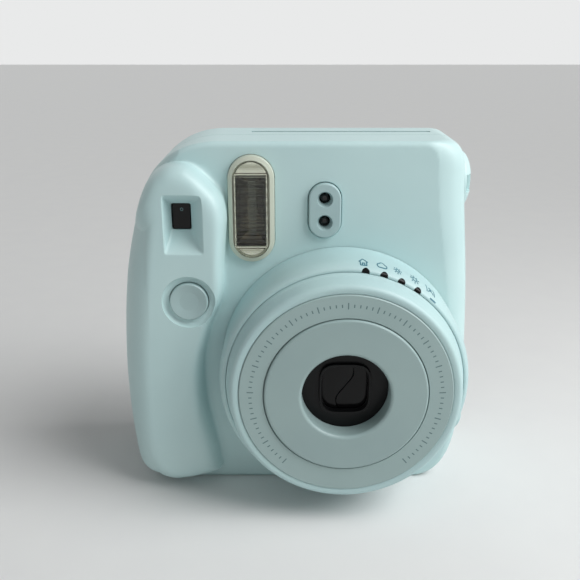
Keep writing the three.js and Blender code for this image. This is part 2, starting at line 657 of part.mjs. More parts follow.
// A finger plate that slides in the door's edge, with a stem through the door and a
// guide plate behind it.
function latch() {
  const inside = BACK - DOOR_THICKNESS - GAP;
  const [bottom, top] = [LATCH_Z - LATCH_STEM_HALF, LATCH_Z + LATCH_STEM_HALF];
  const plate = roundedRect(DOOR_LEFT + GAP, DOOR_LEFT + LATCH_WIDTH,
    LATCH_Z - LATCH_HALF_HEIGHT + GAP, LATCH_Z + LATCH_HALF_HEIGHT - GAP, 0.8);
  const cap = alongY(plate, BACK - LATCH_SINK + GAP, BACK - 0.5, 2);
  const ribs = [1.4, 3, 4.6].map((x) => (
    box(DOOR_LEFT + x, DOOR_LEFT + x + 0.7, BACK - 0.8, BACK, bottom, top)));
  const stem = box(DOOR_LEFT + 1, DOOR_LEFT + 4, inside - 0.5, BACK - 1, bottom, top);
  const guide = box(DOOR_LEFT + 0.3, DOOR_LEFT + 5, inside - 0.7, inside, bottom - 4, top + 4);
  return joined(cap, ...ribs, stem, guide);
}

// ---------------------------------------------------------------- lens group

const LENS_SIDES = 24;
const turn = (profile, segments = LENS_SIDES) => turnedY(profile, LENS_X, LENS_Z, segments);

function quarterRound(cx, cy, rx, ry, from, to, steps) {
  const points = [];
  for (let step = 0; step <= steps; step += 1) {
    const angle = radians(from + (to - from) * step / steps);
    points.push([cx + rx * Math.cos(angle), cy + ry * Math.sin(angle)]);
  }
  return points;
}

function ledWindow(i, grow) {
  const angle = LED_FIRST_ANGLE - i * LED_STEP_ANGLE;
  const [x, z] = roundLens(DIAL_R + RUN, angle);
  const half = new THREE.Shape();
  const facing = radians(angle);
  half.absarc(x, z, LED_R + grow, facing - Math.PI / 2, facing + Math.PI / 2);
  return half;
}

// Fixed ring round the lens: rounded lip, a shelf that guides the barrel, windows for
// the exposure lamps and a lobe for the power button.
function lensBaseRing() {
  const inner = DIAL_R + RUN;
  const guide = BARREL_R + RUN;
  const ring = turn([
    [inner + 0.4, RING_BACK], [RING_R, RING_BACK],
    ...quarterRound(inner + 0.4, RING_FRONT + 6, RING_R - inner - 0.4, 6, 0, -90, 3),
    [inner, RING_FRONT + 0.5], [inner, SHELF_FRONT], [guide, SHELF_FRONT],
    [guide, SHELF_BACK], [inner + 0.4, SHELF_BACK + 1],
  ]);
  const [lobeX, lobeZ] = roundLens(RING_R, -28.2);
  const lobe = cut(
    turnedY([[0, POWER_SEAT], [POWER_LOBE_R - 1, POWER_SEAT], [POWER_LOBE_R, POWER_SEAT + 1],
      [POWER_LOBE_R, RING_BACK], [0, RING_BACK]], lobeX, lobeZ, 20),
    rodY(inner + 0.4, FOREMOST, BACK, LENS_X, LENS_Z, LENS_SIDES));
  const windows = Array.from({ length: LED_COUNT }, (_, i) => (
    alongY(ledWindow(i, GAP), RING_FRONT - 1, RING_FRONT + 3 + GAP, 2)));
  return cut(joined(ring, lobe),
    rodY(POWER_R + RUN, FOREMOST, POWER_CAP_BACK + POWER_TRAVEL + 1, POWER_X, POWER_Z, 16),
    rodY(POWER_PIN_R + RUN, POWER_SEAT, RING_BACK + 1, POWER_X, POWER_Z, 12),
    ...windows);
}

function ledWindowPiece(i) {
  const piece = alongY(ledWindow(i, 0), RING_FRONT - 1, RING_FRONT + 3, 2);
  const keepIn = turn([
    [DIAL_R + RUN + 0.15, RING_FRONT + 0.15], [DIAL_R + RUN + 0.6, RING_FRONT + 0.15],
    ...quarterRound(DIAL_R + RUN + 0.5, RING_FRONT + 6, RING_R - DIAL_R - RUN - 0.8, 5.8, -60, 0, 3),
    [DIAL_R + RUN + 0.15, RING_FRONT + 6],
  ]);
  return piece.intersect(keepIn);
}

// Turning ring with a rounded shoulder, held between the barrel and the fixed ring.
function brightnessDial() {
  const bore = BARREL_R + RUN;
  return turn([
    [bore, SHELF_FRONT - GAP], [DIAL_R, SHELF_FRONT - GAP], [DIAL_R, RING_FRONT + 0.4],
    [DIAL_R - 0.5, RING_FRONT - 0.9],
    ...quarterRound(bore + 1.1, TEXT_FACE + 2.4, 1.6, 2.1, -25, -90, 3),
    [bore + 0.3, TEXT_FACE + 0.4], [bore, TEXT_FACE + 0.7],
  ]);
}

function lensBarrel() {
  const bore = BARREL_R - BARREL_WALL;
  const flange = BARREL_R + BARREL_FLANGE;
  const seat = TEXT_FACE + 1.4;
  return turn([
    [DISC_R + GAP, TEXT_FACE + 0.1], [BARREL_R - 0.3, TEXT_FACE], [BARREL_R, TEXT_FACE + 0.3],
    [BARREL_R, BARREL_BACK - BARREL_LIP], [flange, BARREL_BACK - BARREL_LIP], [flange, BARREL_BACK],
    [bore, BARREL_BACK], [bore, COVER_PLATE_FRONT - GAP], [EYE_R + 1.9, COVER_PLATE_FRONT - GAP],
    [EYE_R + 1.9, seat], [DISC_R + GAP, seat],
  ]);
}

// Front disc: rounded rim, and a rounded lip that turns into a short hub round the eye.
function frontDisc() {
  const seat = TEXT_FACE + 1.4 - GAP;
  return turn([
    [EYE_R, COVER_PLATE_FRONT - GAP], [EYE_R + 1.6, COVER_PLATE_FRONT - GAP], [EYE_R + 1.6, seat],
    [DISC_R, seat],
    ...quarterRound(DISC_R - 0.7, FOREMOST + 0.7, 0.7, 0.7, 0, -90, 2),
    ...quarterRound(EYE_R + EYE_LIP, FOREMOST + EYE_LIP, EYE_LIP, EYE_LIP, -90, -180, 2),
  ]);
}

const LEAF_PIVOT = [13.5, 13.5];
const HATCH_WIDTH = 13.6;
const HATCH_HEIGHT = 16.8;

function centred(width, height, radius) {
  const [halfWidth, halfHeight] = [width / 2, height / 2];
  return roundedRect(LENS_X - halfWidth, LENS_X + halfWidth,
    LENS_Z - halfHeight, LENS_Z + halfHeight, radius);
}

// Black plate behind the eye: a raised frame round the hatch and two pivot pins.
function coverPlate() {
  const rim = BARREL_R - BARREL_WALL - PLATE_EDGE;
  const plate = turn([
    [0, COVER_PLATE_FRONT], [rim, COVER_PLATE_FRONT], [rim, COVER_PLATE_BACK], [0, COVER_PLATE_BACK],
  ], 24);
  const frame = alongY(centred(HATCH_WIDTH + 2.4, HATCH_HEIGHT + 2.4, 5),
    COVER_PLATE_FRONT - 1.6, COVER_PLATE_BACK, 3);
  const pins = [1, -1].map((side) => rodY(1, COVER_PLATE_FRONT, SHUTTER_UNIT_FRONT - GAP,
    LENS_X - side * LEAF_PIVOT[0], LENS_Z + side * LEAF_PIVOT[1], 12));
  const hatch = alongY(centred(HATCH_WIDTH, HATCH_HEIGHT, 4), FOREMOST, BACK, 4);
  return joined(cut(joined(plate, frame), hatch), ...pins);
}

// One leaf of the lens cover. Its free edge is half of the S-shaped seam; side -1 is
// the same leaf turned half a turn round the lens axis.
function coverLeaf(side) {
  const place = ([x, z]) => [LENS_X + side * x, LENS_Z + side * z];
  const seam = new THREE.SplineCurve([
    [-0.15, 11], [2.2, 7.5], [2.6, 3.8], [0, 0], [-2.6, -3.8], [-2.2, -7.5], [-0.15, -11],
  ].map(([x, z]) => new THREE.Vector2(x - 0.15, z)));
  const edge = seam.getPoints(18).map((p) => place([p.x, p.y]));
  const outer = [
    [-7.4, -11.3], [-9.5, 0], [-10, 9], [-16, 10.5], [-16.5, 14], [-13.5, 16.3], [-9, 14.5],
  ].map(place);
  const leaf = alongY(polygon([...edge, ...outer]), LEAF_FRONT, LEAF_FRONT + LEAF_THICKNESS);
  const hole = rodY(1 + GAP, LEAF_FRONT - 1, LEAF_FRONT + 2,
    LENS_X - side * LEAF_PIVOT[0], LENS_Z + side * LEAF_PIVOT[1], 12);
  return cut(leaf, hole);
}

const CELL_TUBE_R = 9;

function shutterUnit() {
  const bore = CELL_TUBE_R + GAP;
  const rim = BARREL_R - BARREL_WALL - GAP;
  return turn([
    [bore, SHUTTER_UNIT_FRONT], [rim, SHUTTER_UNIT_FRONT], [rim, SHUTTER_UNIT_BACK],
    [bore + 5, SHUTTER_UNIT_BACK], [bore + 4, SHUTTER_UNIT_BACK + 3], [bore, SHUTTER_UNIT_BACK + 3],
  ], 24);
}

function lensTube() {
  const front = SHUTTER_UNIT_FRONT + GAP;
  const back = SHUTTER_UNIT_BACK + 6;
  const stop = front + 4.2;
  return turn([
    [7.4, front], [CELL_TUBE_R, front], [CELL_TUBE_R, back], [7.4, back], [7.4, stop + 1],
    [3, stop + 0.8], [3, stop], [7.4, stop],
  ], 20);
}

function lensElement(front, thickness) {
  const r = 7.4 - GAP;
  const middle = front + thickness / 2;
  return turn([
    [0, front], ...quarterRound(0, middle, r, thickness / 2 - 0.4, -70, -20, 1),
    [r, middle], ...quarterRound(0, middle, r, thickness / 2 - 0.4, 20, 70, 1), [0, front + thickness],
  ], 16);
}

// Dark funnel between the barrel and the picture frame: round in front, square behind.
function lightFunnel() {
  const count = 24;
  const ringAt = (radius) => Array.from({ length: count }, (_, i) => {
    const angle = 2 * Math.PI * i / count;
    return new THREE.Vector2(LENS_X + radius * Math.cos(angle), LENS_Z + radius * Math.sin(angle));
  });
  const windowAt = (grow) => ringAt(1).map((p) => {
    const [dx, dz] = [p.x - LENS_X, p.y - LENS_Z];
    const sideways = (PICTURE_WIDTH / 2 + grow) / Math.abs(dx);
    const upwards = (PICTURE_HEIGHT / 2 + grow) / Math.abs(dz);
    const reach = Math.min(sideways, upwards);
    return new THREE.Vector2(LENS_X + dx * reach, LENS_Z + dz * reach);
  });
  const front = BARREL_BACK + 1.6;
  const back = GATE_FRONT - GAP;
  const mouth = ringAt(31);
  const bore = ringAt(31 - THIN_WALL);
  const outer = loft([mouth, windowAt(1 + THIN_WALL)], [front, back]);
  const inner = loft([bore, bore, windowAt(1), windowAt(1)], [front - 1, front, back, back + 1]);
  return cut(outer, inner);
}

// ---------------------------------------------------------------- coils and gears

// Compression spring along Y with a square-cut end each side.
function coilSpring(radius, wire, front, back, x, z, turns) {
  const path = new THREE.Curve();
  const reach = back - front - wire;
  path.getPoint = (t, target = new THREE.Vector3()) => {
    const angle = 2 * Math.PI * turns * t;
    const along = front + wire / 2 + reach * t;
    return target.set(x + radius * Math.cos(angle), along, z + radius * Math.sin(angle));
  };
  const wireShape = polygon(Array.from({ length: 4 }, (_, i) => (
    [wire / 2 * Math.cos(i * Math.PI / 2), wire / 2 * Math.sin(i * Math.PI / 2)])));
  const sweep = { steps: turns * 8, bevelEnabled: false, extrudePath: path };
  return solid(new THREE.ExtrudeGeometry(wireShape, sweep));
}

const pitchRadius = (teeth) => GEAR_MODULE * teeth / 2;

// Spur gear in the YZ plane with a tooth centred at the given angle.
function gear(teeth, y, z, phase, boreR) {
  const pitch = 2 * Math.PI / teeth;
  const rootR = pitchRadius(teeth) - 1.15 * GEAR_MODULE;
  const tipR = pitchRadius(teeth) + 0.85 * GEAR_MODULE;
  const points = [];
  for (let i = 0; i < teeth; i += 1) {
    for (const [share, radius] of [[-0.3, rootR], [-0.11, tipR], [0.11, tipR], [0.3, rootR]]) {
      const angle = phase + (i + share) * pitch;
      points.push([y + radius * Math.cos(angle), z + radius * Math.sin(angle)]);
    }
  }
  const blank = alongX(polygon(points), GEAR_X, GEAR_X + GEAR_WIDTH);
  return boreR > 0 ? cut(blank, rodX(boreR, GEAR_X - 1, GEAR_X + GEAR_WIDTH + 1, y, z, 16)) : blank;
}

// The phase that puts a gear's gap where its partner has a tooth.
function meshedPhase(direction, partnerPhase, partnerTeeth, teeth) {
  const partnerShare = (direction - partnerPhase) / (2 * Math.PI / partnerTeeth);
  return direction + Math.PI - (0.5 - partnerShare) * 2 * Math.PI / teeth;
}

const FRONT_ROLLER_Y = FILM_Y - ROLLER_PITCH_R;
const BACK_ROLLER_Y = FILM_Y + ROLLER_PITCH_R;
const IDLER_DIRECTION = radians(213);
const IDLER_REACH = pitchRadius(ROLLER_TEETH) + pitchRadius(IDLER_TEETH);
const IDLER_Y = FRONT_ROLLER_Y + IDLER_REACH * Math.cos(IDLER_DIRECTION);
const IDLER_Z = ROLLER_Z + IDLER_REACH * Math.sin(IDLER_DIRECTION);
const PINION_DIRECTION = radians(222);
const PINION_REACH = pitchRadius(IDLER_TEETH) + pitchRadius(PINION_TEETH);
const MOTOR_Y = IDLER_Y + PINION_REACH * Math.cos(PINION_DIRECTION);
const MOTOR_Z = IDLER_Z + PINION_REACH * Math.sin(PINION_DIRECTION);
const IDLER_PHASE = meshedPhase(IDLER_DIRECTION, 0, ROLLER_TEETH, IDLER_TEETH);
const PINION_PHASE = meshedPhase(PINION_DIRECTION, IDLER_PHASE, IDLER_TEETH, PINION_TEETH);
const SHAFT_R = 1.1;

function roller(y) {
  const left = PACK_LEFT + GAP;
  const right = PACK_RIGHT - GAP;
  return turnedX([
    [0, PACK_LEFT - THIN_WALL - 0.5], [SHAFT_R, PACK_LEFT - THIN_WALL - 0.5], [SHAFT_R, left],
    [ROLLER_R, left], [ROLLER_R, right], [SHAFT_R, right], [SHAFT_R, SHAFT_END], [0, SHAFT_END],
  ], y, ROLLER_Z, 14);
}

// Black chassis: bay for the film pack, picture frame, and cheeks that carry the rollers.
function filmChamber() {
  const left = PACK_LEFT - THIN_WALL;
  const right = PACK_RIGHT + THIN_WALL;
  const bay = box(left, right, GATE_FRONT, PACK_BACK, PACK_BOTTOM - THIN_WALL, PACK_TOP + THIN_WALL);
  const feet = [LENS_X - 22, LENS_X + 22].map((x) => (
    box(x - 1, x + 1, GATE_FRONT, PACK_BACK - 4, 0, PACK_BOTTOM - THIN_WALL + 0.5)));
  const cheekTop = HEIGHT - WALL - GAP;
  const cheekBack = BACK_ROLLER_Y + 3.4;
  const leftCheek = box(left, PACK_LEFT, GATE_FRONT, cheekBack, PACK_TOP, cheekTop);
  const rightCheek = box(PACK_RIGHT, CHEEK_OUT, MOTOR_Y - MOTOR_R, cheekBack, PACK_TOP - 6, cheekTop - 3);
  const rightPost = box(PACK_RIGHT, CHEEK_OUT, GATE_FRONT, cheekBack, PACK_TOP, cheekTop);
  const ears = [36, PACK_TOP - 24].map((z) => (
    box(DOOR_LEFT - 5, left + 0.5, PACK_BACK - 1.2, INNER_BACK - GAP, z, z + 12)));
  const armBack = COUNTER_FRONT - GAP;
  const counterArm = box(COUNTER_AXIS_X - 2.5, left + 0.5, armBack - THIN_WALL, armBack,
    COUNTER_Z - 2.5, COUNTER_Z + 2.5);
  const counterPin = rodY(1.2, COUNTER_FRONT - 1, COUNTER_FRONT + 1.3, COUNTER_AXIS_X, COUNTER_Z, 12);
  const solidChassis = joined(bay, ...feet, leftCheek, rightCheek, rightPost, ...ears, counterArm, counterPin,
    rodX(SHAFT_R, CHEEK_OUT, SHAFT_END, IDLER_Y, IDLER_Z));
  const shaftHoles = [FRONT_ROLLER_Y, BACK_ROLLER_Y].map((y) => (
    rodX(SHAFT_R + RUN, left - 1, CHEEK_OUT + 1, y, ROLLER_Z)));
  return cut(solidChassis,
    box(PACK_LEFT, PACK_RIGHT, PACK_FRONT, PACK_BACK + 1, PACK_BOTTOM, PACK_TOP),
    box(LENS_X - PICTURE_WIDTH / 2, LENS_X + PICTURE_WIDTH / 2, GATE_FRONT - 1, PACK_FRONT + 1,
      LENS_Z - PICTURE_HEIGHT / 2, LENS_Z + PICTURE_HEIGHT / 2),
    box(LENS_X - SLOT_WIDTH / 2, LENS_X + SLOT_WIDTH / 2, FILM_Y - 1.5, FILM_Y + 1.5,
      PACK_TOP - 1, PACK_TOP + 3),
    rodX(2 + GAP, PACK_RIGHT - 1, CHEEK_OUT + 1, MOTOR_Y, MOTOR_Z),
    box(PACK_RIGHT - 0.5, right + 1, HINGE_Y - KNUCKLE_R - 2 * GAP, PACK_BACK + 1, 0, HEIGHT),
    ...shaftHoles).intersect(roomForChassis);
}

// Motor can with flattened sides and a short boss on its shaft end.
function driveMotor() {
  const back = PACK_RIGHT - GAP;
  const can = turnedX([
    [0, back - MOTOR_LENGTH - 1], [2, back - MOTOR_LENGTH - 1], [2, back - MOTOR_LENGTH],
    [MOTOR_R - 0.6, back - MOTOR_LENGTH], [MOTOR_R, back - MOTOR_LENGTH + 0.6], [MOTOR_R, back - 0.5],
    [MOTOR_R - 0.5, back], [0, back],
  ], MOTOR_Y, MOTOR_Z, 16);
  const flats = box(back - MOTOR_LENGTH - 2, back + 1, MOTOR_Y - MOTOR_R + 0.7, MOTOR_Y + MOTOR_R - 0.7,
    MOTOR_Z - MOTOR_R - 1, MOTOR_Z + MOTOR_R + 1);
  return can.intersect(flats);
}

function motorPinion() {
  const shaft = rodX(0.8, PACK_RIGHT, GEAR_X + 0.2, MOTOR_Y, MOTOR_Z, 12);
  return joined(gear(PINION_TEETH, MOTOR_Y, MOTOR_Z, PINION_PHASE, 0), shaft);
}

// ---------------------------------------------------------------- flash and sensors

const GROOVE_COUNT = 7;
const GROOVE_PITCH = 3.4;

function flashLens() {
  const outline = stadium(FLASH_X, FLASH_Z, FLASH_WIDTH, FLASH_HEIGHT);
  const loop = outline.getPoints(2).slice(0, -1);
  const front = FACE - FLASH_PROUD;
  const dome = loft([inset(loop, 1.3), inset(loop, 0.4), loop, loop],
    [front, front + 0.5, front + 1.5, FACE + WALL]);
  const hollow = loft([inset(loop, 1.3), inset(loop, 1.1)], [front + 1.4, FACE + WALL + 1]);
  const grooves = Array.from({ length: GROOVE_COUNT }, (_, i) => {
    const z = FLASH_Z + (i - (GROOVE_COUNT - 1) / 2) * GROOVE_PITCH;
    return box(FLASH_X - 4.6, FLASH_X + 4.6, front + 0.9, front + 1.6, z - 0.7, z + 0.7);
  });
  return cut(dome, hollow, ...grooves);
}

const REFLECTOR_FRONT = FACE - FLASH_PROUD + 2.4;

// Mirror trough: a parabola-like section seen from the side, open to the front.
function flashReflector() {
  const half = { x: 4.9, z: 11.6 };
  const depth = 7;
  const trough = (grow, front, back) => {
    const mouth = roundedRect(FLASH_X - half.x - grow, FLASH_X + half.x + grow,
      FLASH_Z - half.z - grow, FLASH_Z + half.z + grow, 0.8);
    const middle = roundedRect(FLASH_X - 3.9 - grow, FLASH_X + 3.9 + grow,
      FLASH_Z - half.z + 0.6 - grow, FLASH_Z + half.z - 0.6 + grow, 0.8);
    const floor = roundedRect(FLASH_X - 1.7 - grow, FLASH_X + 1.7 + grow,
      FLASH_Z - half.z + 1.6 - grow, FLASH_Z + half.z - 1.6 + grow, 0.8);
    const loops = [mouth, middle, floor].map((shape) => shape.getPoints(1).slice(0, -1));
    return loft(loops, [front, (front + back) / 2, back]);
  };
  const outer = trough(0.7, REFLECTOR_FRONT, REFLECTOR_FRONT + depth + 0.7);
  const inner = trough(0, REFLECTOR_FRONT - 0.01, REFLECTOR_FRONT + depth);
  const flangeIn = roundedRect(FLASH_X - half.x, FLASH_X + half.x, FLASH_Z - half.z, FLASH_Z + half.z, 0.8);
  const flange = alongY(withHole(stadium(FLASH_X, FLASH_Z, FLASH_WIDTH - 4.2, FLASH_HEIGHT - 4.2), flangeIn),
    REFLECTOR_FRONT - 0.4, REFLECTOR_FRONT + 0.6, 2);
  return cut(joined(outer, flange), inner);
}

function flashTube() {
  return rodZ(1.1, FLASH_Z - 9.4, FLASH_Z + 9.4, FLASH_X, REFLECTOR_FRONT + 5.2, 16);
}

const SENSOR_BORE_R = SENSOR_EYE_R - 0.7;
const sensorEyes = [SENSOR_Z + 3.7, SENSOR_Z - 3.7];

// Raised pill with a rounded rim and two countersunk eyes.
function sensorBezel() {
  const loop = stadium(SENSOR_X, SENSOR_Z, SENSOR_WIDTH, SENSOR_HEIGHT).getPoints(2).slice(0, -1);
  const front = FACE - SENSOR_PROUD;
  const pill = loft([inset(loop, 1.1), inset(loop, 0.35), loop, loop],
    [front, front + 0.35, front + 1.2, FACE + WALL + 1]);
  const eyes = sensorEyes.map((z) => turnedY([
    [0, front - 1], [SENSOR_EYE_R + 0.4, front - 1], [SENSOR_EYE_R, front + 0.2],
    [SENSOR_BORE_R, front + 1.8], [SENSOR_BORE_R, FACE + 5], [0, FACE + 5]], SENSOR_X, z, 12));
  return cut(pill, ...eyes);
}

function sensorWindow(z) {
  const front = FACE - SENSOR_PROUD + 2.2;
  const r = SENSOR_BORE_R - GAP;
  const dome = quarterRound(0, front + 0.7, r, 0.7, -60, 0, 2);
  return turnedY([[0, front], ...dome, [r, front + 3], [0, front + 3]], SENSOR_X, z, 12);
}

// ---------------------------------------------------------------- finder, buttons, battery

function finderTube() {
  const front = GRIP_FACE + FINDER_DEPTH + THIN_WALL + GAP;
  const back = INNER_BACK - 3;
  const section = (grow) => roundedRect(FINDER_X - 4.2 - grow, FINDER_X + 4.2 + grow,
    FINDER_Z - 4.6 - grow, FINDER_Z + 4.6 + grow, 1);
  return alongY(withHole(section(1.2), section(0)), front, back, 2);
}

function finderWindow() {
  const front = GRIP_FACE + FINDER_DEPTH + 0.1;
  return alongY(finderWindowShape(GAP), front, front + 1.2, 3);
}

function eyepiece() {
  return cut(alongY(eyepieceShape(0, 2), INNER_BACK - 2.7, BACK - 0.2, 2),
    alongY(eyepieceShape(EYEPIECE_RIM, 2), INNER_BACK - 1, BACK + 1, 2),
    alongY(eyepieceShape(EYEPIECE_RIM + 0.6, 2), INNER_BACK - 4, BACK, 2));
}

function eyepieceLens() {
  return alongY(eyepieceShape(EYEPIECE_RIM + GAP, 1.6), INNER_BACK - 1 + GAP, INNER_BACK + 0.6, 2);
}

// Round button with a shallow dished face, a retaining flange and a stem.
function shutterButton() {
  const face = GRIP_FACE + 0.2;
  const flange = GRIP_FACE + 4.3;
  const stemEnd = GRIP_FACE + 8;
  return turnedY([
    [0, face + 0.7], [3, face + 0.52], [SHUTTER_R - 0.7, face + 0.05], [SHUTTER_R - 0.35, face],
    [SHUTTER_R, face + 0.4], [SHUTTER_R, flange], [SHUTTER_R + 1, flange], [SHUTTER_R + 1, flange + 1],
    [2, flange + 1], [2, stemEnd], [0, stemEnd],
  ], SHUTTER_X, SHUTTER_Z, 16);
}

const SWITCH_FRONT = GRIP_FACE + 8 + SHUTTER_TRAVEL + 0.2;

function shutterSpring() {
  return coilSpring(3.2, 0.5, GRIP_FACE + 5.4, SWITCH_FRONT - 0.1, SHUTTER_X, SHUTTER_Z, 4);
}

function shutterSwitch() {
  return box(BOARD_X + THIN_WALL + GAP, SHUTTER_X + 4, SWITCH_FRONT, SWITCH_FRONT + 4,
    SHUTTER_Z - 4, SHUTTER_Z + 4);
}

function powerButton() {
  const face = POWER_SEAT - 0.8;
  const pinEnd = FACE + WALL + 1;
  return turnedY([
    [0, face], [POWER_R - 0.8, face], [POWER_R, face + 0.8], [POWER_R, POWER_CAP_BACK],
    [POWER_PIN_R, POWER_CAP_BACK], [POWER_PIN_R, pinEnd], [0, pinEnd],
  ], POWER_X, POWER_Z, 16);
}

function batteryDoor() {
  const slab = cut(outerForm, innerForm).intersect(batteryDoorReach(0));
  const ribs = [0, 1, 2, 3].map((i) => {
    const front = CELL_FRONT_Y + 2 + 3 * i;
    return box(LEFT - 2, LEFT + 4, front, front + 1, CELL_TOP - 8, CELL_TOP);
  });
  const skin = cut(outerForm, outerForm.translate([0.5, 0, 0]));
  return cut(slab, joined(...ribs).intersect(skin));
}

function batteryTray() {
  const front = CELL_FRONT_Y - CELL_R - RUN - THIN_WALL;
  const back = CELL_BACK_Y + CELL_R + RUN + THIN_WALL;
  const bottom = CELL_BOTTOM - 2 - THIN_WALL;
  const top = CELL_TOP + 3 + THIN_WALL;
  const openSide = CELL_X - CELL_R + TRAY_LIP;
  const outer = box(openSide, TRAY_FLOOR_X + THIN_WALL, front, back, bottom, top);
  const room = box(openSide - 1, TRAY_FLOOR_X, front + THIN_WALL, back - THIN_WALL,
    bottom + THIN_WALL, top - THIN_WALL);
  return cut(outer, room).intersect(roomForChassis);
}

function cell(y, up) {
  const end = (z) => (up ? z : CELL_BOTTOM + CELL_TOP - z);
  return turnedZ([
    [0, CELL_BOTTOM], [CELL_R - 0.6, CELL_BOTTOM], [CELL_R, CELL_BOTTOM + 0.6], [CELL_R, CELL_TOP - 1.8],
    [CELL_R - 0.8, CELL_TOP - 1], [2.7, CELL_TOP - 1], [2.6, CELL_TOP], [0, CELL_TOP],
  ].map(([r, z]) => [r, end(z)]), CELL_X, y, 16);
}

// Plate with two bent tongues that press on the cell ends.
function contactPlate(bottomSide) {
  const tip = bottomSide ? CELL_BOTTOM - GAP : CELL_TOP + GAP;
  const base = bottomSide ? CELL_BOTTOM - 2 + GAP : CELL_TOP + 3 - GAP;
  const away = bottomSide ? -1 : 1;
  const plateFrom = base - away * 0.6;
  const plate = box(CELL_X - 5, CELL_X + 5, CELL_FRONT_Y - 5, CELL_BACK_Y + 5,
    Math.min(base, plateFrom), Math.max(base, plateFrom));
  const tongues = [CELL_FRONT_Y, CELL_BACK_Y].map((y) => box(CELL_X - 2, CELL_X + 2, y - 2, y + 2,
    Math.min(plateFrom, tip), Math.max(plateFrom, tip)));
  return joined(plate, ...tongues);
}

// ---------------------------------------------------------------- small inner pieces

function circuitBoard() {
  return box(BOARD_X, BOARD_X + THIN_WALL, FACE + 1.5, FACE + 33, 14, 82);
}

function flashCapacitor() {
  const r = 4.5;
  const waist = r - 0.5;
  const x = BOARD_X + THIN_WALL + GAP + r;
  return turnedZ([
    [0, 22], [r, 22], [r, 54], [waist, 54.6], [waist, 55.4], [r, 56], [r, 58], [0, 58],
  ], x, FACE + 20, 16);
}

// Wheel with a stub in the chassis ear, read through the window in the door.
function counterWheel() {
  const back = COUNTER_FRONT + 1;
  return turnedY([
    [1.2 + GAP, COUNTER_FRONT], [COUNTER_R, COUNTER_FRONT], [COUNTER_R, back], [1.2 + GAP, back],
  ], COUNTER_AXIS_X, COUNTER_Z, 16);
}

function doorWindow() {
  return alongY(doorWindowShape(0), BACK - DOOR_THICKNESS + 0.2, BACK - 0.5, 2);
}

function counterWindow() {
  return alongY(counterWindowShape(0), BACK - DOOR_THICKNESS + 0.2, BACK - 0.3, 2);
}

// Bowed leaf on the inside of the door that presses the film pack forward.
function packSpring(x) {
  const inner = BACK - DOOR_THICKNESS - GAP;
  const outline = [];
  const back = [];
  for (let step = 0; step <= 8; step += 1) {
    const z = 32 + 43 * step / 8;
    const bow = 2.4 * Math.sin(Math.PI * step / 8);
    outline.push([inner - 0.5 - bow, z]);
    back.unshift([inner - bow, z]);
  }
  return alongX(polygon([...outline, ...back]), x - 3, x + 3);
}

// ---------------------------------------------------------------- assembly

const camera = new THREE.Group();

function material(color, roughness, metalness = 0) {
  return new THREE.MeshStandardMaterial({ color, roughness, metalness });
}

const shell = () => material('#b9d9d8', 0.45);
const dark = () => material('#17191a', 0.6);
const clear = () => material('#dfe9ea', 0.08);
const smoked = () => material('#0b0c0e', 0.1);
const steel = () => material('#b8bbbe', 0.3, 1);
const white = () => material('#e9e6de', 0.5);

function add(name, form, look) {
  const mesh = new THREE.Mesh(geometryOf(form), look);
  mesh.name = name;
  camera.add(mesh);
}

add('front_cover', frontCover(), shell());
add('rear_cover', rearCover(), shell());
add('film_door', filmDoor(), shell());
add('film_door_latch', latch(), shell());
add('hinge_pin', rodZ(HINGE_PIN_R, KNUCKLE_BOTTOM, KNUCKLE_TOP, HINGE_X, HINGE_Y), steel());
add('film_door_window', doorWindow(), smoked());
add('counter_window', counterWindow(), clear());
add('pack_spring_left', packSpring(LENS_X - 18), steel());
add('pack_spring_right', packSpring(LENS_X + 18), steel());
add('strap_lug', strapLug(), shell());
add('battery_door', batteryDoor(), shell());

add('lens_base_ring', lensBaseRing(), shell());
for (let i = 0; i < LED_COUNT; i += 1) add(`exposure_lamp_${i + 1}`, ledWindowPiece(i), smoked());
add('brightness_dial', brightnessDial(), shell());
add('lens_barrel', lensBarrel(), shell());
add('front_disc', frontDisc(), shell());
add('lens_cover_plate', coverPlate(), dark());
add('lens_cover_leaf_left', coverLeaf(1), dark());
add('lens_cover_leaf_right', coverLeaf(-1), dark());
add('shutter_unit', shutterUnit(), dark());
add('lens_tube', lensTube(), dark());
add('front_lens', lensElement(SHUTTER_UNIT_FRONT + GAP + 0.3, 3.4), clear());
add('rear_lens', lensElement(SHUTTER_UNIT_FRONT + GAP + 5.6, 3), clear());
add('light_funnel', lightFunnel(), dark());

add('shutter_button', shutterButton(), shell());
add('shutter_spring', shutterSpring(), steel());
add('shutter_switch', shutterSwitch(), dark());
add('power_button', powerButton(), shell());

add('flash_lens', flashLens(), clear());
add('flash_reflector', flashReflector(), steel());
add('flash_tube', flashTube(), clear());
add('flash_capacitor', flashCapacitor(), dark());
add('sensor_bezel', sensorBezel(), shell());
add('sensor_window_upper', sensorWindow(sensorEyes[0]), smoked());
add('sensor_window_lower', sensorWindow(sensorEyes[1]), smoked());

add('finder_window', finderWindow(), smoked());
add('finder_tube', finderTube(), dark());
add('eyepiece_frame', eyepiece(), dark());
add('eyepiece_lens', eyepieceLens(), clear());

add('film_chamber', filmChamber(), dark());
add('film_roller_front', roller(FRONT_ROLLER_Y), steel());
add('film_roller_back', roller(BACK_ROLLER_Y), steel());
add('roller_gear_front', gear(ROLLER_TEETH, FRONT_ROLLER_Y, ROLLER_Z, 0, SHAFT_R + 0.02), white());
add('roller_gear_back', gear(ROLLER_TEETH, BACK_ROLLER_Y, ROLLER_Z, 0, SHAFT_R + 0.02), white());
add('idler_gear', gear(IDLER_TEETH, IDLER_Y, IDLER_Z, IDLER_PHASE, SHAFT_R + RUN), white());
add('motor_pinion', motorPinion(), white());
add('drive_motor', driveMotor(), steel());
add('counter_wheel', counterWheel(), white());

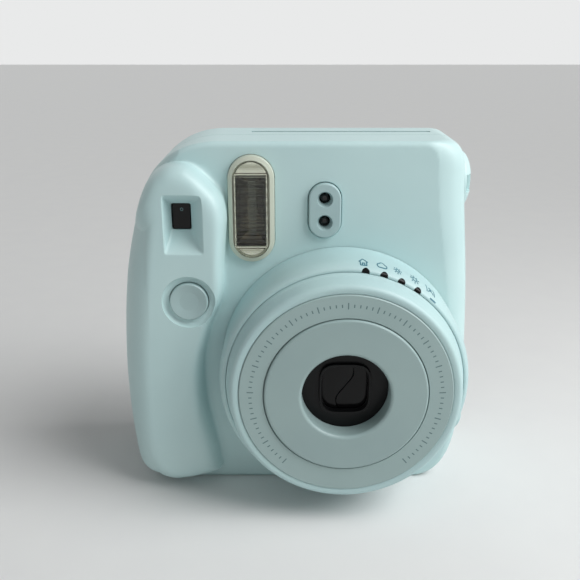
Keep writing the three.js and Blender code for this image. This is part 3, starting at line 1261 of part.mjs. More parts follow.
add('battery_tray', batteryTray(), dark());
add('battery_front', cell(CELL_FRONT_Y, true), material('#2c2f33', 0.35));
add('battery_back', cell(CELL_BACK_Y, false), material('#2c2f33', 0.35));
add('battery_contact_top', contactPlate(false), steel());
add('battery_contact_bottom', contactPlate(true), steel());
add('circuit_board', circuitBoard(), material('#1f5a3c', 0.5));

export default camera;
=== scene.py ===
"""Instant camera for mini film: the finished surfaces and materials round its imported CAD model."""

import math

import bpy
import numpy as np
from mathutils import Euler, Matrix, Vector


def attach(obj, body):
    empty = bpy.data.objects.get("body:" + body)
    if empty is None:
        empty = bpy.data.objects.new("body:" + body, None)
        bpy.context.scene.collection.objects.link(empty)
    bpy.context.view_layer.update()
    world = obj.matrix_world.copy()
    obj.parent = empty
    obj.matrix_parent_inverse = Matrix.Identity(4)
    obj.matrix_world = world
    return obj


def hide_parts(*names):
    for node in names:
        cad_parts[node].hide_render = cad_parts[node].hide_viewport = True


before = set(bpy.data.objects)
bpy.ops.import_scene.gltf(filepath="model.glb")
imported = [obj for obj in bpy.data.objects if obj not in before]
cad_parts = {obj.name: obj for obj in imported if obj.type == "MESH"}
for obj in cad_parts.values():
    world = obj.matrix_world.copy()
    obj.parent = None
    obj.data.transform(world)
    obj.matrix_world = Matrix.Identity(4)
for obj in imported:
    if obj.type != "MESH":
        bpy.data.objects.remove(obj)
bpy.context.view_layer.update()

# ---------------------------------------------------------------- moulded covers: the outer form
# Two injection-moulded ABS covers, front and rear, share one outer form: a flat-faced body with
# soft edges and a grip that swells out of its left side. It is written here as a field that is
# negative inside the form, in millimetres, and skinned on a fine grid.
MM = 0.001
LEFT, RIGHT, TOP = -58.0, 58.0, 118.3
FACE, PARTING, BACK = -6.5, 9.0, 34.1
GRIP_FACE, GRIP_ROOT = -16.0, 2.0


def bezier(corners, count):
    """Points on a Bezier curve of any degree, without its last one."""
    share = np.linspace(0, 1, count, endpoint=False)[:, None]
    degree = len(corners) - 1
    return sum(
        math.comb(degree, i) * (1 - share) ** (degree - i) * share**i * np.array(corner)
        for i, corner in enumerate(corners)
    )


def body_outline():
    """The body seen from the front: swelling sides, a waisted upper right and a long left shoulder."""
    curves = [
        [(LEFT + 16, 0), (RIGHT - 16, 0)],
        [(RIGHT - 16, 0), (RIGHT - 7, 0), (RIGHT - 3, 8), (RIGHT - 1.4, 18)],
        [(RIGHT - 1.4, 18), (RIGHT - 0.3, 25), (RIGHT, 32), (RIGHT, 42)],
        [(RIGHT, 42), (RIGHT, TOP - 42), (RIGHT - 3, TOP - 30), (RIGHT - 3.9, TOP - 9.5)],
        [(RIGHT - 3.9, TOP - 9.5), (RIGHT - 4.0, TOP - 3.5), (RIGHT - 6.5, TOP), (RIGHT - 12, TOP)],
        [(RIGHT - 12, TOP), (LEFT + 34, TOP)],
        [(LEFT + 34, TOP), (LEFT + 22, TOP), (LEFT + 14, TOP - 6.3), (LEFT + 9.3, TOP - 15.7)],
        [(LEFT + 9.3, TOP - 15.7), (LEFT + 4.5, TOP - 31.5), (LEFT, 66), (LEFT, 46)],
        [(LEFT, 46), (LEFT, 34), (LEFT + 0.4, 24), (LEFT + 1.2, 17)],
        [(LEFT + 1.2, 17), (LEFT + 2.4, 6), (LEFT + 7, 0), (LEFT + 16, 0)],
    ]
    return np.vstack([bezier(curve, 2 if len(curve) == 2 else 40) for curve in curves])


def smooth_loop(points, steps=12):
    """A closed curve through the given points, as one cubic for each stretch."""
    here = np.array(points, float)
    before, after, beyond = (np.roll(here, shift, axis=0) for shift in (1, -1, -2))
    bend = 2 * before - 5 * here + 4 * after - beyond
    twist = 3 * here - before - 3 * after + beyond
    loop = [0.5 * (2 * here + (after - before) * t + bend * t**2 + twist * t**3)
            for t in np.linspace(0, 1, steps, endpoint=False)]
    return np.stack(loop, axis=1).reshape(-1, 2)


GRIP_ROOT_LOOP = smooth_loop([
    (-26, 106.9), (-21.5, 100.3), (-20.8, 86.3), (-21.1, 70), (-25.3, 59), (-27.9, 46),
    (-26.3, 31), (-20.7, 12), (-19.2, 0.3), (-40, 0.3), (-53.2, 3.9), (-56.5, 16.9),
    (-57.6, 46), (-54.9, 78), (-48.4, 102.5), (-41.8, 111.2), (-33.5, 112.6),
])
GRIP_FACE_LOOP = smooth_loop([
    (-31.1, 100.8), (-27.3, 95.8), (-25.9, 84.3), (-26.4, 71), (-31.2, 59), (-34.7, 46),
    (-36.2, 32), (-36.7, 19), (-38.2, 10), (-43, 9), (-47.5, 12.5), (-49, 22),
    (-49, 46), (-46.5, 76), (-41.7, 98.3), (-38, 103.3), (-33, 104),
])
GRID_STEP, GRID_MARGIN = 0.5, 5
GRID_X = np.arange(LEFT - GRID_MARGIN, RIGHT + GRID_MARGIN, GRID_STEP)
GRID_Z = np.arange(-GRID_MARGIN, TOP + GRID_MARGIN, GRID_STEP)


def distance_table(loop):
    """Distance to a closed outline on a grid over the front view, negative inside."""
    x, z = (axis.ravel()[:, None] for axis in np.meshgrid(GRID_X, GRID_Z, indexing="ij"))
    (x1, z1), (x2, z2) = loop.T, np.roll(loop, -1, axis=0).T
    dx, dz = x2 - x1, z2 - z1
    share = np.clip(((x - x1) * dx + (z - z1) * dz) / (dx**2 + dz**2), 0, 1)
    near = np.sqrt(((x1 + share * dx - x) ** 2 + (z1 + share * dz - z) ** 2).min(axis=1))
    rise = np.where(z2 == z1, 1e-9, z2 - z1)
    crossed = ((z1 > z) != (z2 > z)) & (x < x1 + (z - z1) / rise * dx)
    inside = crossed.sum(axis=1) % 2 == 1
    return np.where(inside, -near, near).reshape(len(GRID_X), len(GRID_Z))


def looked_up(table, x, z):
    """The table's value at any point, by bilinear interpolation."""
    column = np.clip((x - GRID_X[0]) / GRID_STEP, 0, len(GRID_X) - 1.001)
    row = np.clip((z - GRID_Z[0]) / GRID_STEP, 0, len(GRID_Z) - 1.001)
    i, j = column.astype(int), row.astype(int)
    s, t = column - i, row - j
    low = table[i, j] * (1 - t) + table[i, j + 1] * t
    high = table[i + 1, j] * (1 - t) + table[i + 1, j + 1] * t
    return low * (1 - s) + high * s


BODY_TABLE, ROOT_TABLE, FACE_TABLE = map(distance_table, (body_outline(), GRIP_ROOT_LOOP, GRIP_FACE_LOOP))


def rounded_corner(a, b, radius):
    """Distance to where two half-spaces meet in an edge of that radius."""
    outside = np.hypot(np.maximum(a + radius, 0), np.maximum(b + radius, 0))
    return outside + np.minimum(np.maximum(a, b) + radius, 0) - radius


def smooth_union(a, b, blend):
    overlap = np.maximum(blend - np.abs(a - b), 0) / np.maximum(blend, 1e-6)
    return np.minimum(a, b) - overlap**2 * blend / 4


def ramp(value, start, length):
    """0 up to a start, then rising evenly to 1 over a length."""
    return np.clip((value - start) / length, 0, 1)


DRAFT_HEIGHTS, DRAFT_REACHES, DRAFT_POWER = (0, 42, 62, 84, 100), (1.2, 2.0, 5.6, 7.2, 8.2), 5.5


def body_side(x, y, z):
    """Distance to the body's side, which stands in at the front right, up to the parting line."""
    reach = np.interp(z, DRAFT_HEIGHTS, DRAFT_REACHES)
    fade = np.clip(1 - (y - FACE) / (PARTING - FACE), 0, 1) ** DRAFT_POWER
    return looked_up(BODY_TABLE, x + reach * fade * ramp(x, 15, 30), z)


FRONT_ROUND, LEFT_ROUND_MORE, BACK_ROUND = 1.7, 8, 8.0
FACE_INSET, THINNEST_FLANK, GRIP_STANDS_IN, GRIP_FILLET = 2.0, 3, 0.3, 1.8


def outer_form(x, y, z):
    """The body and its grip, joined by a fillet that fades out towards the silhouette."""
    side = body_side(x, y, z)
    front_round = FRONT_ROUND + LEFT_ROUND_MORE * ramp(-x, 36, 12)
    body = np.maximum(rounded_corner(side, FACE - y, front_round), rounded_corner(side, y - BACK, BACK_ROUND))
    to_face, to_root = looked_up(FACE_TABLE, x, z) + FACE_INSET, looked_up(ROOT_TABLE, x, z)
    crisp = np.maximum(ramp(x, -47, 9), ramp(z, 92, 8))
    width = np.maximum(to_face - to_root, THINNEST_FLANK) * (1 - crisp * (0.28 - 0.23 * ramp(z, 80, 15)))
    power = 2 + 2.5 * crisp
    across = np.maximum(to_face, 0) / width
    height = GRIP_ROOT - GRIP_FACE
    along = np.maximum(GRIP_ROOT - y, 0.001) / height
    steepness = np.hypot(across ** (power - 1) / width, along ** (power - 1) / height)
    grip = (across**power + along**power - 1) / (power * steepness + 1e-3)
    grip = np.maximum(np.maximum(grip, y - GRIP_ROOT), side + GRIP_STANDS_IN)
    return np.maximum(smooth_union(body, grip, GRIP_FILLET * ramp(-side, 2, 6)), -z)


def rounded_rectangle(x, z, middle_x, middle_z, half_x, half_z, radius):
    a, b = np.abs(x - middle_x) - half_x + radius, np.abs(z - middle_z) - half_z + radius
    return np.hypot(np.maximum(a, 0), np.maximum(b, 0)) + np.minimum(np.maximum(a, b), 0) - radius


FINDER_X, FINDER_Z = -35.6, 95.6
POCKET_DEPTH, POCKET_FLOOR = 7.0, (3.1, 4.2)


def pocket_section(opening):
    """Middle and half sizes of the finder's sloping pocket, from its floor at 0 to its mouth at 1."""
    return (FINDER_X + 1.3 * opening, FINDER_Z - 1.25 * opening,
            POCKET_FLOOR[0] + 2.8 * opening, POCKET_FLOOR[1] + 4.95 * opening)


SHUTTER_X, SHUTTER_Z = -33.6, 69.5
WALL, POCKET_WALL = 2.0, 1.4
BOSS_R, BOSS_DEPTH = 9.6, 5.5


def hollow_form(x, y, z):
    """The room inside the covers, which leaves walls round the finder pocket and the release."""
    share = np.clip((y - GRIP_FACE) / POCKET_DEPTH, -0.6, 1)
    around = rounded_rectangle(x, z, *pocket_section(1 - share), 1.0)
    pocket = np.maximum(around * 0.9, y - GRIP_FACE - POCKET_DEPTH)
    boss = np.maximum(np.hypot(x - SHUTTER_X, z - SHUTTER_Z) - BOSS_R, y - GRIP_FACE - BOSS_DEPTH)
    room = np.maximum(outer_form(x, y, z), body_side(x, y, z)) + WALL
    return np.maximum(np.maximum(room, POCKET_WALL - pocket), -boss)


CORNERS = np.array([(i, j, k) for i in (0, 1) for j in (0, 1) for k in (0, 1)])
EDGES = [(a, b) for a in range(8) for b in range(a + 1, 8) if np.abs(CORNERS[a] - CORNERS[b]).sum() == 1]


def rise_across(field, points, nudge):
    """How much a field changes along X, Y and Z across twice a nudge, at each point."""
    return np.stack([
        field(*(points + nudge * unit).T) - field(*(points - nudge * unit).T) for unit in np.eye(3)
    ], axis=1)


def settled(field, points, rounds, furthest, nudge=0.02):
    """Moves points onto a field's zero surface, in steps no longer than the furthest."""
    for _ in range(rounds):
        slope = rise_across(field, points, nudge) / (2 * nudge)
        move = field(*points.T)[:, None] * slope / np.maximum((slope**2).sum(axis=1, keepdims=True), 0.05)
        points = points - np.clip(move, -furthest, furthest)
    return points


def skin(field, low, high, cell, relax=2):
    """Closed quad mesh on the field's zero surface: one point in each crossed cell, moved onto it."""
    axes = [np.arange(a, b + cell, cell) for a, b in zip(low, high)]
    values = field(*np.meshgrid(*axes, indexing="ij"))
    inside = values < 0
    shape = np.array(values.shape) - 1
    around = np.stack([inside[tuple(slice(c, c + n) for c, n in zip(corner, shape))] for corner in CORNERS])
    count = around.sum(axis=0)
    cells = np.argwhere((count > 0) & (count < 8))
    number = -np.ones(tuple(shape), int)
    number[tuple(cells.T)] = np.arange(len(cells))
    at_corner = np.stack([values[tuple((cells + corner).T)] for corner in CORNERS])
    total, hits = np.zeros((len(cells), 3)), np.zeros((len(cells), 1))
    for a, b in EDGES:
        fa, fb = at_corner[a][:, None], at_corner[b][:, None]
        crossed = (fa < 0) != (fb < 0)
        share = np.where(crossed, fa / np.where(crossed, fa - fb, 1), 0)
        total += np.where(crossed, CORNERS[a] + share * (CORNERS[b] - CORNERS[a]), 0)
        hits += crossed
    points = np.array([axis[0] for axis in axes]) + (cells + total / hits) * cell
    quads = []
    for axis in range(3):
        u, v = [k for k in range(3) if k != axis]
        here = inside[tuple(slice(0, -1) if k == axis else slice(1, -1) for k in range(3))]
        there = inside[tuple(slice(1, None) if k == axis else slice(1, -1) for k in range(3))]
        for entering in (True, False):
            found = np.argwhere((here != there) & (here == entering))
            found[:, [u, v]] += 1
            ring = []
            for step_u, step_v in ((0, 0), (-1, 0), (-1, -1), (0, -1)):
                spot = found.copy()
                spot[:, u] += step_u
                spot[:, v] += step_v
                ring.append(number[tuple(spot.T)])
            quad = np.stack(ring, axis=1)
            quads.append(quad if entering == (axis != 1) else quad[:, ::-1])
    quads = np.vstack(quads)
    points = settled(field, points, 3, cell / 2)
    pairs = np.vstack([quads[:, [a, (a + 1) % 4]] for a in range(4)])
    neighbours = np.bincount(pairs[:, 0], minlength=len(points))[:, None]
    for _ in range(relax):
        total = np.stack([
            np.bincount(pairs[:, 0], points[pairs[:, 1], axis], len(points)) for axis in range(3)
        ], axis=1)
        points = settled(field, points + 0.5 * (total / neighbours - points), 2, cell / 2)
    return points, quads


def mesh_object(points, faces):
    """An object from points in millimetres."""
    mesh = bpy.data.meshes.new("piece")
    mesh.from_pydata((np.asarray(points, float) * MM).tolist(), [], [list(map(int, face)) for face in faces])
    mesh.update()
    made = bpy.data.objects.new("piece", mesh)
    bpy.context.collection.objects.link(made)
    return made


def copied(made):
    twin = bpy.data.objects.new("copy", made.data.copy())
    bpy.context.collection.objects.link(twin)
    return twin


def carved(made, *tools, operation="DIFFERENCE"):
    """Cuts the tools from the piece, or joins or keeps what they share, and removes them."""
    for tool in tools:
        step = made.modifiers.new("carve", "BOOLEAN")
        step.operation, step.solver, step.object = operation, "MANIFOLD", tool
    graph = bpy.context.evaluated_depsgraph_get()
    mesh = bpy.data.meshes.new_from_object(made.evaluated_get(graph))
    made.modifiers.clear()
    old, made.data = made.data, mesh
    bpy.data.meshes.remove(old)
    for tool in tools:
        bpy.data.objects.remove(tool)
    return made


def solid(points, faces):
    """An object whose faces all look out of it."""
    corner = np.asarray(points, float)
    volume = sum(
        corner[face[0]] @ np.cross(corner[face[i]], corner[face[i + 1]])
        for face in faces
        for i in range(1, len(face) - 1)
    )
    return mesh_object(points, [face[::-1] for face in faces] if volume < 0 else faces)


def filleted(corners, steps, hold=0.04):
    """Profile corners (across, along, fillet), each fillet an arc between two holding points."""
    path = []
    for i, (across, along, fillet) in enumerate(corners):
        here = np.array([across, along], float)
        if not fillet:
            path.append(here)
            continue
        to_last = np.array(corners[i - 1][:2]) - here
        to_next = np.array(corners[(i + 1) % len(corners)][:2]) - here
        to_last, to_next = to_last / np.linalg.norm(to_last), to_next / np.linalg.norm(to_next)
        half = math.acos(float(np.clip(to_last @ to_next, -1, 1))) / 2
        middle = here + (to_last + to_next) / np.linalg.norm(to_last + to_next) * fillet / math.sin(half)
        start, end = (here + way * fillet / math.tan(half) for way in (to_last, to_next))
        first, last = (math.atan2(*(p - middle)[::-1]) for p in (start, end))
        sweep = (last - first + math.pi) % (2 * math.pi) - math.pi
        path.append(start + hold * to_last)
        for k in range(steps + 1):
            angle = first + sweep * k / steps
            path.append(middle + fillet * np.array([math.cos(angle), math.sin(angle)]))
        path.append(end + hold * to_next)
    return path


def placed(a, b, along, axis):
    """A point from its two places across an axis and its place along it."""
    return {"X": (along, a, b), "Y": (a, along, b), "Z": (a, b, along)}[axis]


def turned(corners, centre, axis="Y", sides=144, steps=6):
    """A solid: a profile of (radius, along, fillet) turned round an axis."""
    points, faces, rings = [], [], []
    for radius, along in filleted(corners, steps):
        count = 1 if radius < 1e-6 else sides
        rings.append(range(len(points), len(points) + count))
        for k in range(count):
            angle = 2 * math.pi * k / sides
            a, b = centre[0] + radius * math.cos(angle), centre[1] + radius * math.sin(angle)
            points.append(placed(a, b, along, axis))
    for ring, beyond in zip(rings, rings[1:] + rings[:1]):
        if len(ring) == len(beyond) == 1:
            continue
        for k in range(sides):
            after = (k + 1) % sides
            loop = [ring[k % len(ring)], ring[after % len(ring)],
                    beyond[after % len(beyond)], beyond[k % len(beyond)]]
            faces.append(list(dict.fromkeys(loop)))
    return solid(points, faces)


SHARPEST = 0.02


def rounded_outline(a, b, half_a, half_b, radius, steps=12):
    """A function that gives a rounded rectangle's points at any inset."""
    def ring(inset):
        corner = max(radius - inset, SHARPEST)
        reach_a, reach_b = half_a - inset - corner, half_b - inset - corner
        return [
            (a + sign_a * reach_a + corner * math.cos(turn), b + sign_b * reach_b + corner * math.sin(turn))
            for quarter, (sign_a, sign_b) in enumerate([(1, -1), (1, 1), (-1, 1), (-1, -1)])
            for turn in np.radians(np.linspace(90 * quarter - 90, 90 * quarter, steps + 1))
        ]
    return ring


def moulded(outline, corners, axis="Y", capped=True, steps=5):
    """A solid: rings of an outline at corners (inset, along, fillet), capped or closed on themselves."""
    lids = [[(inset + 9, along, 0)] for inset, along, _ in (corners[0], corners[-1])]
    path = filleted(lids[0] + list(corners) + lids[1], steps)[1:-1] if capped else filleted(corners, steps)
    points, rings = [], []
    for inset, along in path:
        ring = outline(inset)
        rings.append(range(len(points), len(points) + len(ring)))
        points += [placed(a, b, along, axis) for a, b in ring]
    count = len(rings[0])
    pairs = list(zip(rings, rings[1:])) + ([] if capped else [(rings[-1], rings[0])])
    faces = [
        [ring[k], ring[(k + 1) % count], beyond[(k + 1) % count], beyond[k]]
        for ring, beyond in pairs
        for k in range(count)
    ]
    if capped:
        faces += [list(rings[0])[::-1], list(rings[-1])]
    return solid(points, faces)


def prism(outline, start, end, axis="Y"):
    """One outline between two depths."""
    return moulded(outline, [(0, start, 0), (0, end, 0)], axis)


def block(low, high):
    """A plain block between two corners."""
    (x, _, z), (half_x, _, half_z) = [
        [(b + sign * a) / 2 for a, b in zip(low, high)] for sign in (1, -1)
    ]
    return prism(rounded_outline(x, z, half_x, half_z, SHARPEST, steps=1), low[1], high[1])


def pin(radius, start, end, centre, axis="Y", sides=96):
    """A plain rod."""
    return turned([(0, start, 0), (radius, start, 0), (radius, end, 0), (0, end, 0)], centre, axis, sides)


def eased(made, angle=32):
    """Smooth shading, with edges sharper than the angle left crisp."""
    mesh = made.data
    mesh.polygons.foreach_set("use_smooth", np.ones(len(mesh.polygons), bool))
    mesh.set_sharp_from_angle(angle=math.radians(angle))
    return made


def read(owner, name, width=3):
    """A value of each item of a mesh's list, as rows."""
    values = np.empty(len(owner) * width, np.int32 if width == 1 else float)
    owner.foreach_get(name, values)
    return values if width == 1 else values.reshape(-1, width)


def shaded_by_form(made, reach=0.06, nudge=0.05):
    """Takes the true form's normals where a face lies on it, so that cut edges stay clean."""
    mesh = eased(made).data
    points, facing = read(mesh.vertices, "co") / MM, read(mesh.polygons, "normal")
    corner, starts = read(mesh.loops, "vertex_index", 1), read(mesh.polygons, "loop_start", 1)
    totals = np.diff(np.append(starts, len(corner)))
    normals = read(mesh.corner_normals, "vector")
    for field, side in ((outer_form, 1), (hollow_form, -1)):
        near = np.abs(field(*points.T)) < reach
        rise = rise_across(field, points[near], nudge)
        slope = np.zeros_like(points)
        slope[near] = side * (rise / np.maximum(np.linalg.norm(rise, axis=1, keepdims=True), 1e-9))
        whole = np.logical_and.reduceat(near[corner], starts)
        whole &= (facing * slope[corner[starts]]).sum(axis=1) > 0.3
        used = np.repeat(whole, totals)
        normals[used] = slope[corner[used]]
    mesh.normals_split_custom_set(normals.tolist())
    return made


def linear(code):
    """An sRGB hex colour as linear RGBA."""
    shares = [int(code[i : i + 2], 16) / 255 for i in (1, 3, 5)]
    return [s / 12.92 if s <= 0.04045 else ((s + 0.055) / 1.055) ** 2.4 for s in shares] + [1.0]


def add(tree, kind, settings=None, links=None):
    """Adds a shader node: settings go to its properties or sockets, links come from outputs."""
    made = tree.nodes.new("ShaderNode" + kind)
    for key, value in (settings or {}).items():
        if isinstance(key, str) and hasattr(made, key):
            setattr(made, key, value)
        else:
            made.inputs[key].default_value = value
    for key, source in (links or {}).items():
        tree.links.new(source, made.inputs[key])
    return made


def new_material(name):
    """An empty material, its node tree and the object's own coordinates in metres."""
    made = bpy.data.materials.new(name)
    made.use_nodes = True
    made.node_tree.nodes.clear()
    return made, made.node_tree, add(made.node_tree, "TexCoord").outputs["Object"]


def moulded_plastic(name, colour, shade, roughness=0.42, grain=0.35, depth=0.012, settings=None):
    """Spark-textured mould surface: fine grain in millimetres, a slow drift of tone and gloss."""
    made, tree, place = new_material(name)
    fine = add(tree, "TexNoise", {"Scale": 1 / MM / grain, "Detail": 2.0, "Roughness": 0.6},
               {"Vector": place})
    slow = add(tree, "TexNoise", {"Scale": 1 / MM / 34.0, "Detail": 3.0}, {"Vector": place})
    drift = add(tree, "MapRange", {"From Min": 0.35, "From Max": 0.65}, {"Value": slow.outputs["Fac"]})
    tone = add(tree, "Mix", {"data_type": "RGBA", 6: linear(colour), 7: linear(shade)}, {0: drift.outputs[0]})
    gloss = add(tree, "MapRange", {"From Min": 0.3, "From Max": 0.7, "To Min": roughness - 0.05,
                                   "To Max": roughness + 0.05}, {"Value": fine.outputs["Fac"]})
    relief = add(tree, "Bump", {"Strength": 0.35, "Distance": depth * MM}, {"Height": fine.outputs["Fac"]})
    shader = add(tree, "BsdfPrincipled", {"IOR": 1.53, **(settings or {})},
                 {"Base Color": tone.outputs[2], "Roughness": gloss.outputs[0], "Normal": relief.outputs[0]})
    add(tree, "OutputMaterial", links={"Surface": shader.outputs[0]})
    return made


def dressed(finish, *node_names):
    """Gives carried-over CAD pieces a finish."""
    for name in node_names:
        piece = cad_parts[name]
        piece.data.materials.clear()
        piece.data.materials.append(finish)


def fitted(made, name, finish, body, slot, *nodes):
    """Names a finished piece, gives it its finish, and puts it in the place of its CAD nodes."""
    made.name = made.data.name = name
    made.data.materials.clear()
    made.data.materials.append(finish)
    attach(made, body)
    if nodes:
        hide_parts(*nodes)
    return made


# Moulded ABS, spark-eroded mould: an even satin with a soft wide highlight and a grain just
# short of visible. The real grain is about 0.1 mm; it is drawn at 0.35 mm so that it shows.
SHELL_ABS = moulded_plastic("moulded_abs_pale_aqua", "#c1dcdc", "#bbd7d8")
outer = mesh_object(*skin(outer_form, (LEFT - 2, GRIP_FACE - 2, -2), (RIGHT + 2, BACK + 2, TOP + 2), 0.75))
room = mesh_object(*skin(hollow_form, (LEFT, GRIP_FACE, 0), (RIGHT, BACK, TOP), 1.5))
solid_form = copied(outer)
shell = carved(outer, room)

# ---------------------------------------------------------------- front cover
# The front half of the housing with the finger grip: one ABS moulding with openings for the
# lens, flash, sensor, finder window and release. It meets the rear half in a fine groove.
GAP, FIT = 0.3, 0.12
LENS_X, LENS_Z = LENS = (15.3, 45.6)
POWER = (50.9, 26.51)
SHUTTER = (SHUTTER_X, SHUTTER_Z)
FLASH_X, FLASH_Z, FLASH_HALF = -13.8, 97.45, (7.3, 17.0)
SENSOR_X, SENSOR_Z, SENSOR_HALF = 9.2, 96.95, (5.1, 8.75)
LUG_Y, LUG_Z, LUG_R, LUG_SEAT = 9.5, 103.8, 9.6, 51.9
HATCH_FRONT, HATCH_BACK, HATCH_BOTTOM, HATCH_TOP = -4.75, 25.25, 12.0, 69.5
POWER_PIN_R, RELEASE_BORE_R, RELEASE_WELL_R, LENS_BORE_R = 1.85, 6.35, 7.5, 35.6
DISH_R, DISH_FLOOR_R, DISH_DEPTH = 8.5, 6.3, 1.7
BEYOND_LOW, BEYOND_HIGH = (-70, -30, -10), (70, 50, 130)


def flash_outline(grow=0.0, steps=20):
    half_x, half_z = FLASH_HALF
    return rounded_outline(FLASH_X, FLASH_Z, half_x + grow, half_z + grow, half_x + grow, steps)


def sensor_outline(grow=0.0):
    half_x, half_z = SENSOR_HALF
    return rounded_outline(SENSOR_X, SENSOR_Z, half_x + grow, half_z + grow, half_x + grow, 16)


def finder_outline(half_x, half_z, radius, steps=12):
    return rounded_outline(FINDER_X, FINDER_Z, half_x, half_z, radius, steps)


def hatch_reach(grow=0.0):
    """The battery door's outline, driven in from the side of the grip."""
    outline = rounded_outline(
        (HATCH_FRONT + HATCH_BACK) / 2, (HATCH_BOTTOM + HATCH_TOP) / 2,
        (HATCH_BACK - HATCH_FRONT) / 2 + grow, (HATCH_TOP - HATCH_BOTTOM) / 2 + grow, 5.0 + grow)
    return prism(outline, LEFT - 5, LEFT + 12, "X")


def finder_room():
    """Cutter for the finder's sloping pocket: a wide mouth, an eased edge and a small floor."""
    points, count = [], 4 * 7
    for depth, ease in ((-1.2, 0.5), (0.0, 0.25), (0.3, 0), (6.7, 0), (7.0, -0.25)):
        middle_x, middle_z, half_x, half_z = pocket_section(1 - depth / POCKET_DEPTH)
        ring = rounded_outline(middle_x, middle_z, half_x + ease, half_z + ease, 0.9, 6)(0)
        points += [(x, GRIP_FACE + depth, z) for x, z in ring]
    faces = [
        [r + k, r + (k + 1) % count, r + count + (k + 1) % count, r + count + k]
        for r in range(0, len(points) - count, count)
        for k in range(count)
    ]
    faces += [list(range(count))[::-1], list(range(len(points) - count, len(points)))]
    return solid(points, faces)


def dish():
    """Cutter for the shallow dish round the release: its edge is crisp, its floor dips inward."""
    mouth, floor = GRIP_FACE - 3, GRIP_FACE + DISH_DEPTH
    profile = [(0, mouth, 0), (DISH_R + 0.1, mouth, 0), (DISH_R, GRIP_FACE + 0.02, 0)]
    for turn in np.radians(np.linspace(8, 90, 10)):
        profile.append((DISH_FLOOR_R + 2.2 * math.cos(turn), GRIP_FACE + DISH_DEPTH * math.sin(turn), 0))
    return turned([*profile, (0, floor, 0)], SHUTTER, "Y", 128)


def sensor_hole(flare=0.35):
    """Cutter through the front wall whose mouth is eased."""
    return moulded(sensor_outline(FIT), [
        (-flare - 3, -12.0, 0), (-flare, FACE - 0.1, 0), (-0.1, FACE + 0.25, 0), (0, FACE + 0.6, 0),
        (0, 0.0, 0),
    ])


def lug_bore():
    return pin(LUG_R + GAP, LUG_SEAT, 60, (LUG_Y, LUG_Z), "X", sides=128)


front = carved(
    copied(shell),
    block((BEYOND_LOW[0], PARTING, BEYOND_LOW[2]), BEYOND_HIGH),
    pin(LENS_BORE_R, -10, 0, LENS, sides=144),
    prism(flash_outline(FIT), -9.0, 0),
    sensor_hole(),
    finder_room(),
    dish(),
    prism(finder_outline(*POCKET_FLOOR, 0.6), -12, 0),
    pin(RELEASE_BORE_R, -22, -12, SHUTTER, sides=128),
    pin(RELEASE_WELL_R, -12.4, -6, SHUTTER),
    pin(POWER_PIN_R, -10, 0, POWER, sides=48),
    lug_bore(),
    hatch_reach(GAP),
)
fitted(shaded_by_form(front), "front_cover_shell", SHELL_ABS, "camera_body", "shell_plastic", "front_cover")

# ---------------------------------------------------------------- rear cover
# The back half, with the film exit slot on top, the opening for the film door and two of the
# hinge's five knuckles. Same moulding and finish as the front.
DOOR_LEFT, DOOR_RIGHT, DOOR_BOTTOM, DOOR_TOP = -24.7, 48.3, 7.0, 109.3
HINGE_X, HINGE_Y = HINGE = (48.3, 31.8)
KNUCKLE_R, KNUCKLE_FROM, KNUCKLE_PITCH, PIN_BORE_R = 2.3, 18.0, 14.06, 1.2
EYEPIECE_HALF = (6.5, 5.5)
FILM_SLOT = ((LENS_X - 29.85, 15.8, TOP - 4), (LENS_X + 29.85, 18.2, TOP + 1))
HINGE_CHANNEL = ((HINGE_X - 3, HINGE_Y - KNUCKLE_R - GAP, DOOR_BOTTOM - GAP),
                 (HINGE_X + KNUCKLE_R + 0.7, BACK + 1, DOOR_TOP + GAP))


def door_outline(grow=0.0):
    half_x, half_z = (DOOR_RIGHT - DOOR_LEFT) / 2 + grow, (DOOR_TOP - DOOR_BOTTOM) / 2 + grow
    return rounded_outline((DOOR_LEFT + DOOR_RIGHT) / 2, (DOOR_BOTTOM + DOOR_TOP) / 2, half_x, half_z, 4.0)


def knuckle_span(i, gap):
    return KNUCKLE_FROM + i * KNUCKLE_PITCH + gap, KNUCKLE_FROM + (i + 1) * KNUCKLE_PITCH - gap


def roll(low, high, radius=KNUCKLE_R, fillet=0.25, sides=48):
    """A rod on the hinge's axis with eased ends."""
    corners = [(0, low, 0), (radius, low, fillet), (radius, high, fillet), (0, high, 0)]
    return turned(corners, HINGE, "Z", sides, 3)


def hinge_bore():
    return pin(PIN_BORE_R, KNUCKLE_FROM - 1, KNUCKLE_FROM + 5 * KNUCKLE_PITCH + 1, HINGE, "Z", 32)


rear = carved(copied(shell), block(BEYOND_LOW, (BEYOND_HIGH[0], PARTING + GAP, BEYOND_HIGH[2])))
post = block((HINGE_X, HINGE_Y - KNUCKLE_R, DOOR_BOTTOM), (HINGE_X + KNUCKLE_R + 5, BACK, DOOR_TOP))
carved(post, copied(solid_form), operation="INTERSECT")
carved(rear, post, operation="UNION")
carved(
    rear,
    prism(door_outline(GAP), BACK - 4, BACK + 1),
    block(*HINGE_CHANNEL),
    block(*FILM_SLOT),
    lug_bore(),
    prism(finder_outline(EYEPIECE_HALF[0] + GAP, EYEPIECE_HALF[1] + GAP, 2.3), BACK - 4, BACK + 1),
    hatch_reach(GAP),
)
webs = []
for i in (1, 3):
    low, high = knuckle_span(i, GAP / 2)
    webs += [roll(low, high),
             block((HINGE_X, HINGE_Y - KNUCKLE_R, low), (HINGE_X + KNUCKLE_R + 2, HINGE_Y, high))]
carved(rear, *webs, operation="UNION")
carved(rear, hinge_bore())
fitted(shaded_by_form(rear), "rear_cover_shell", SHELL_ABS, "camera_body", "shell_plastic", "rear_cover")

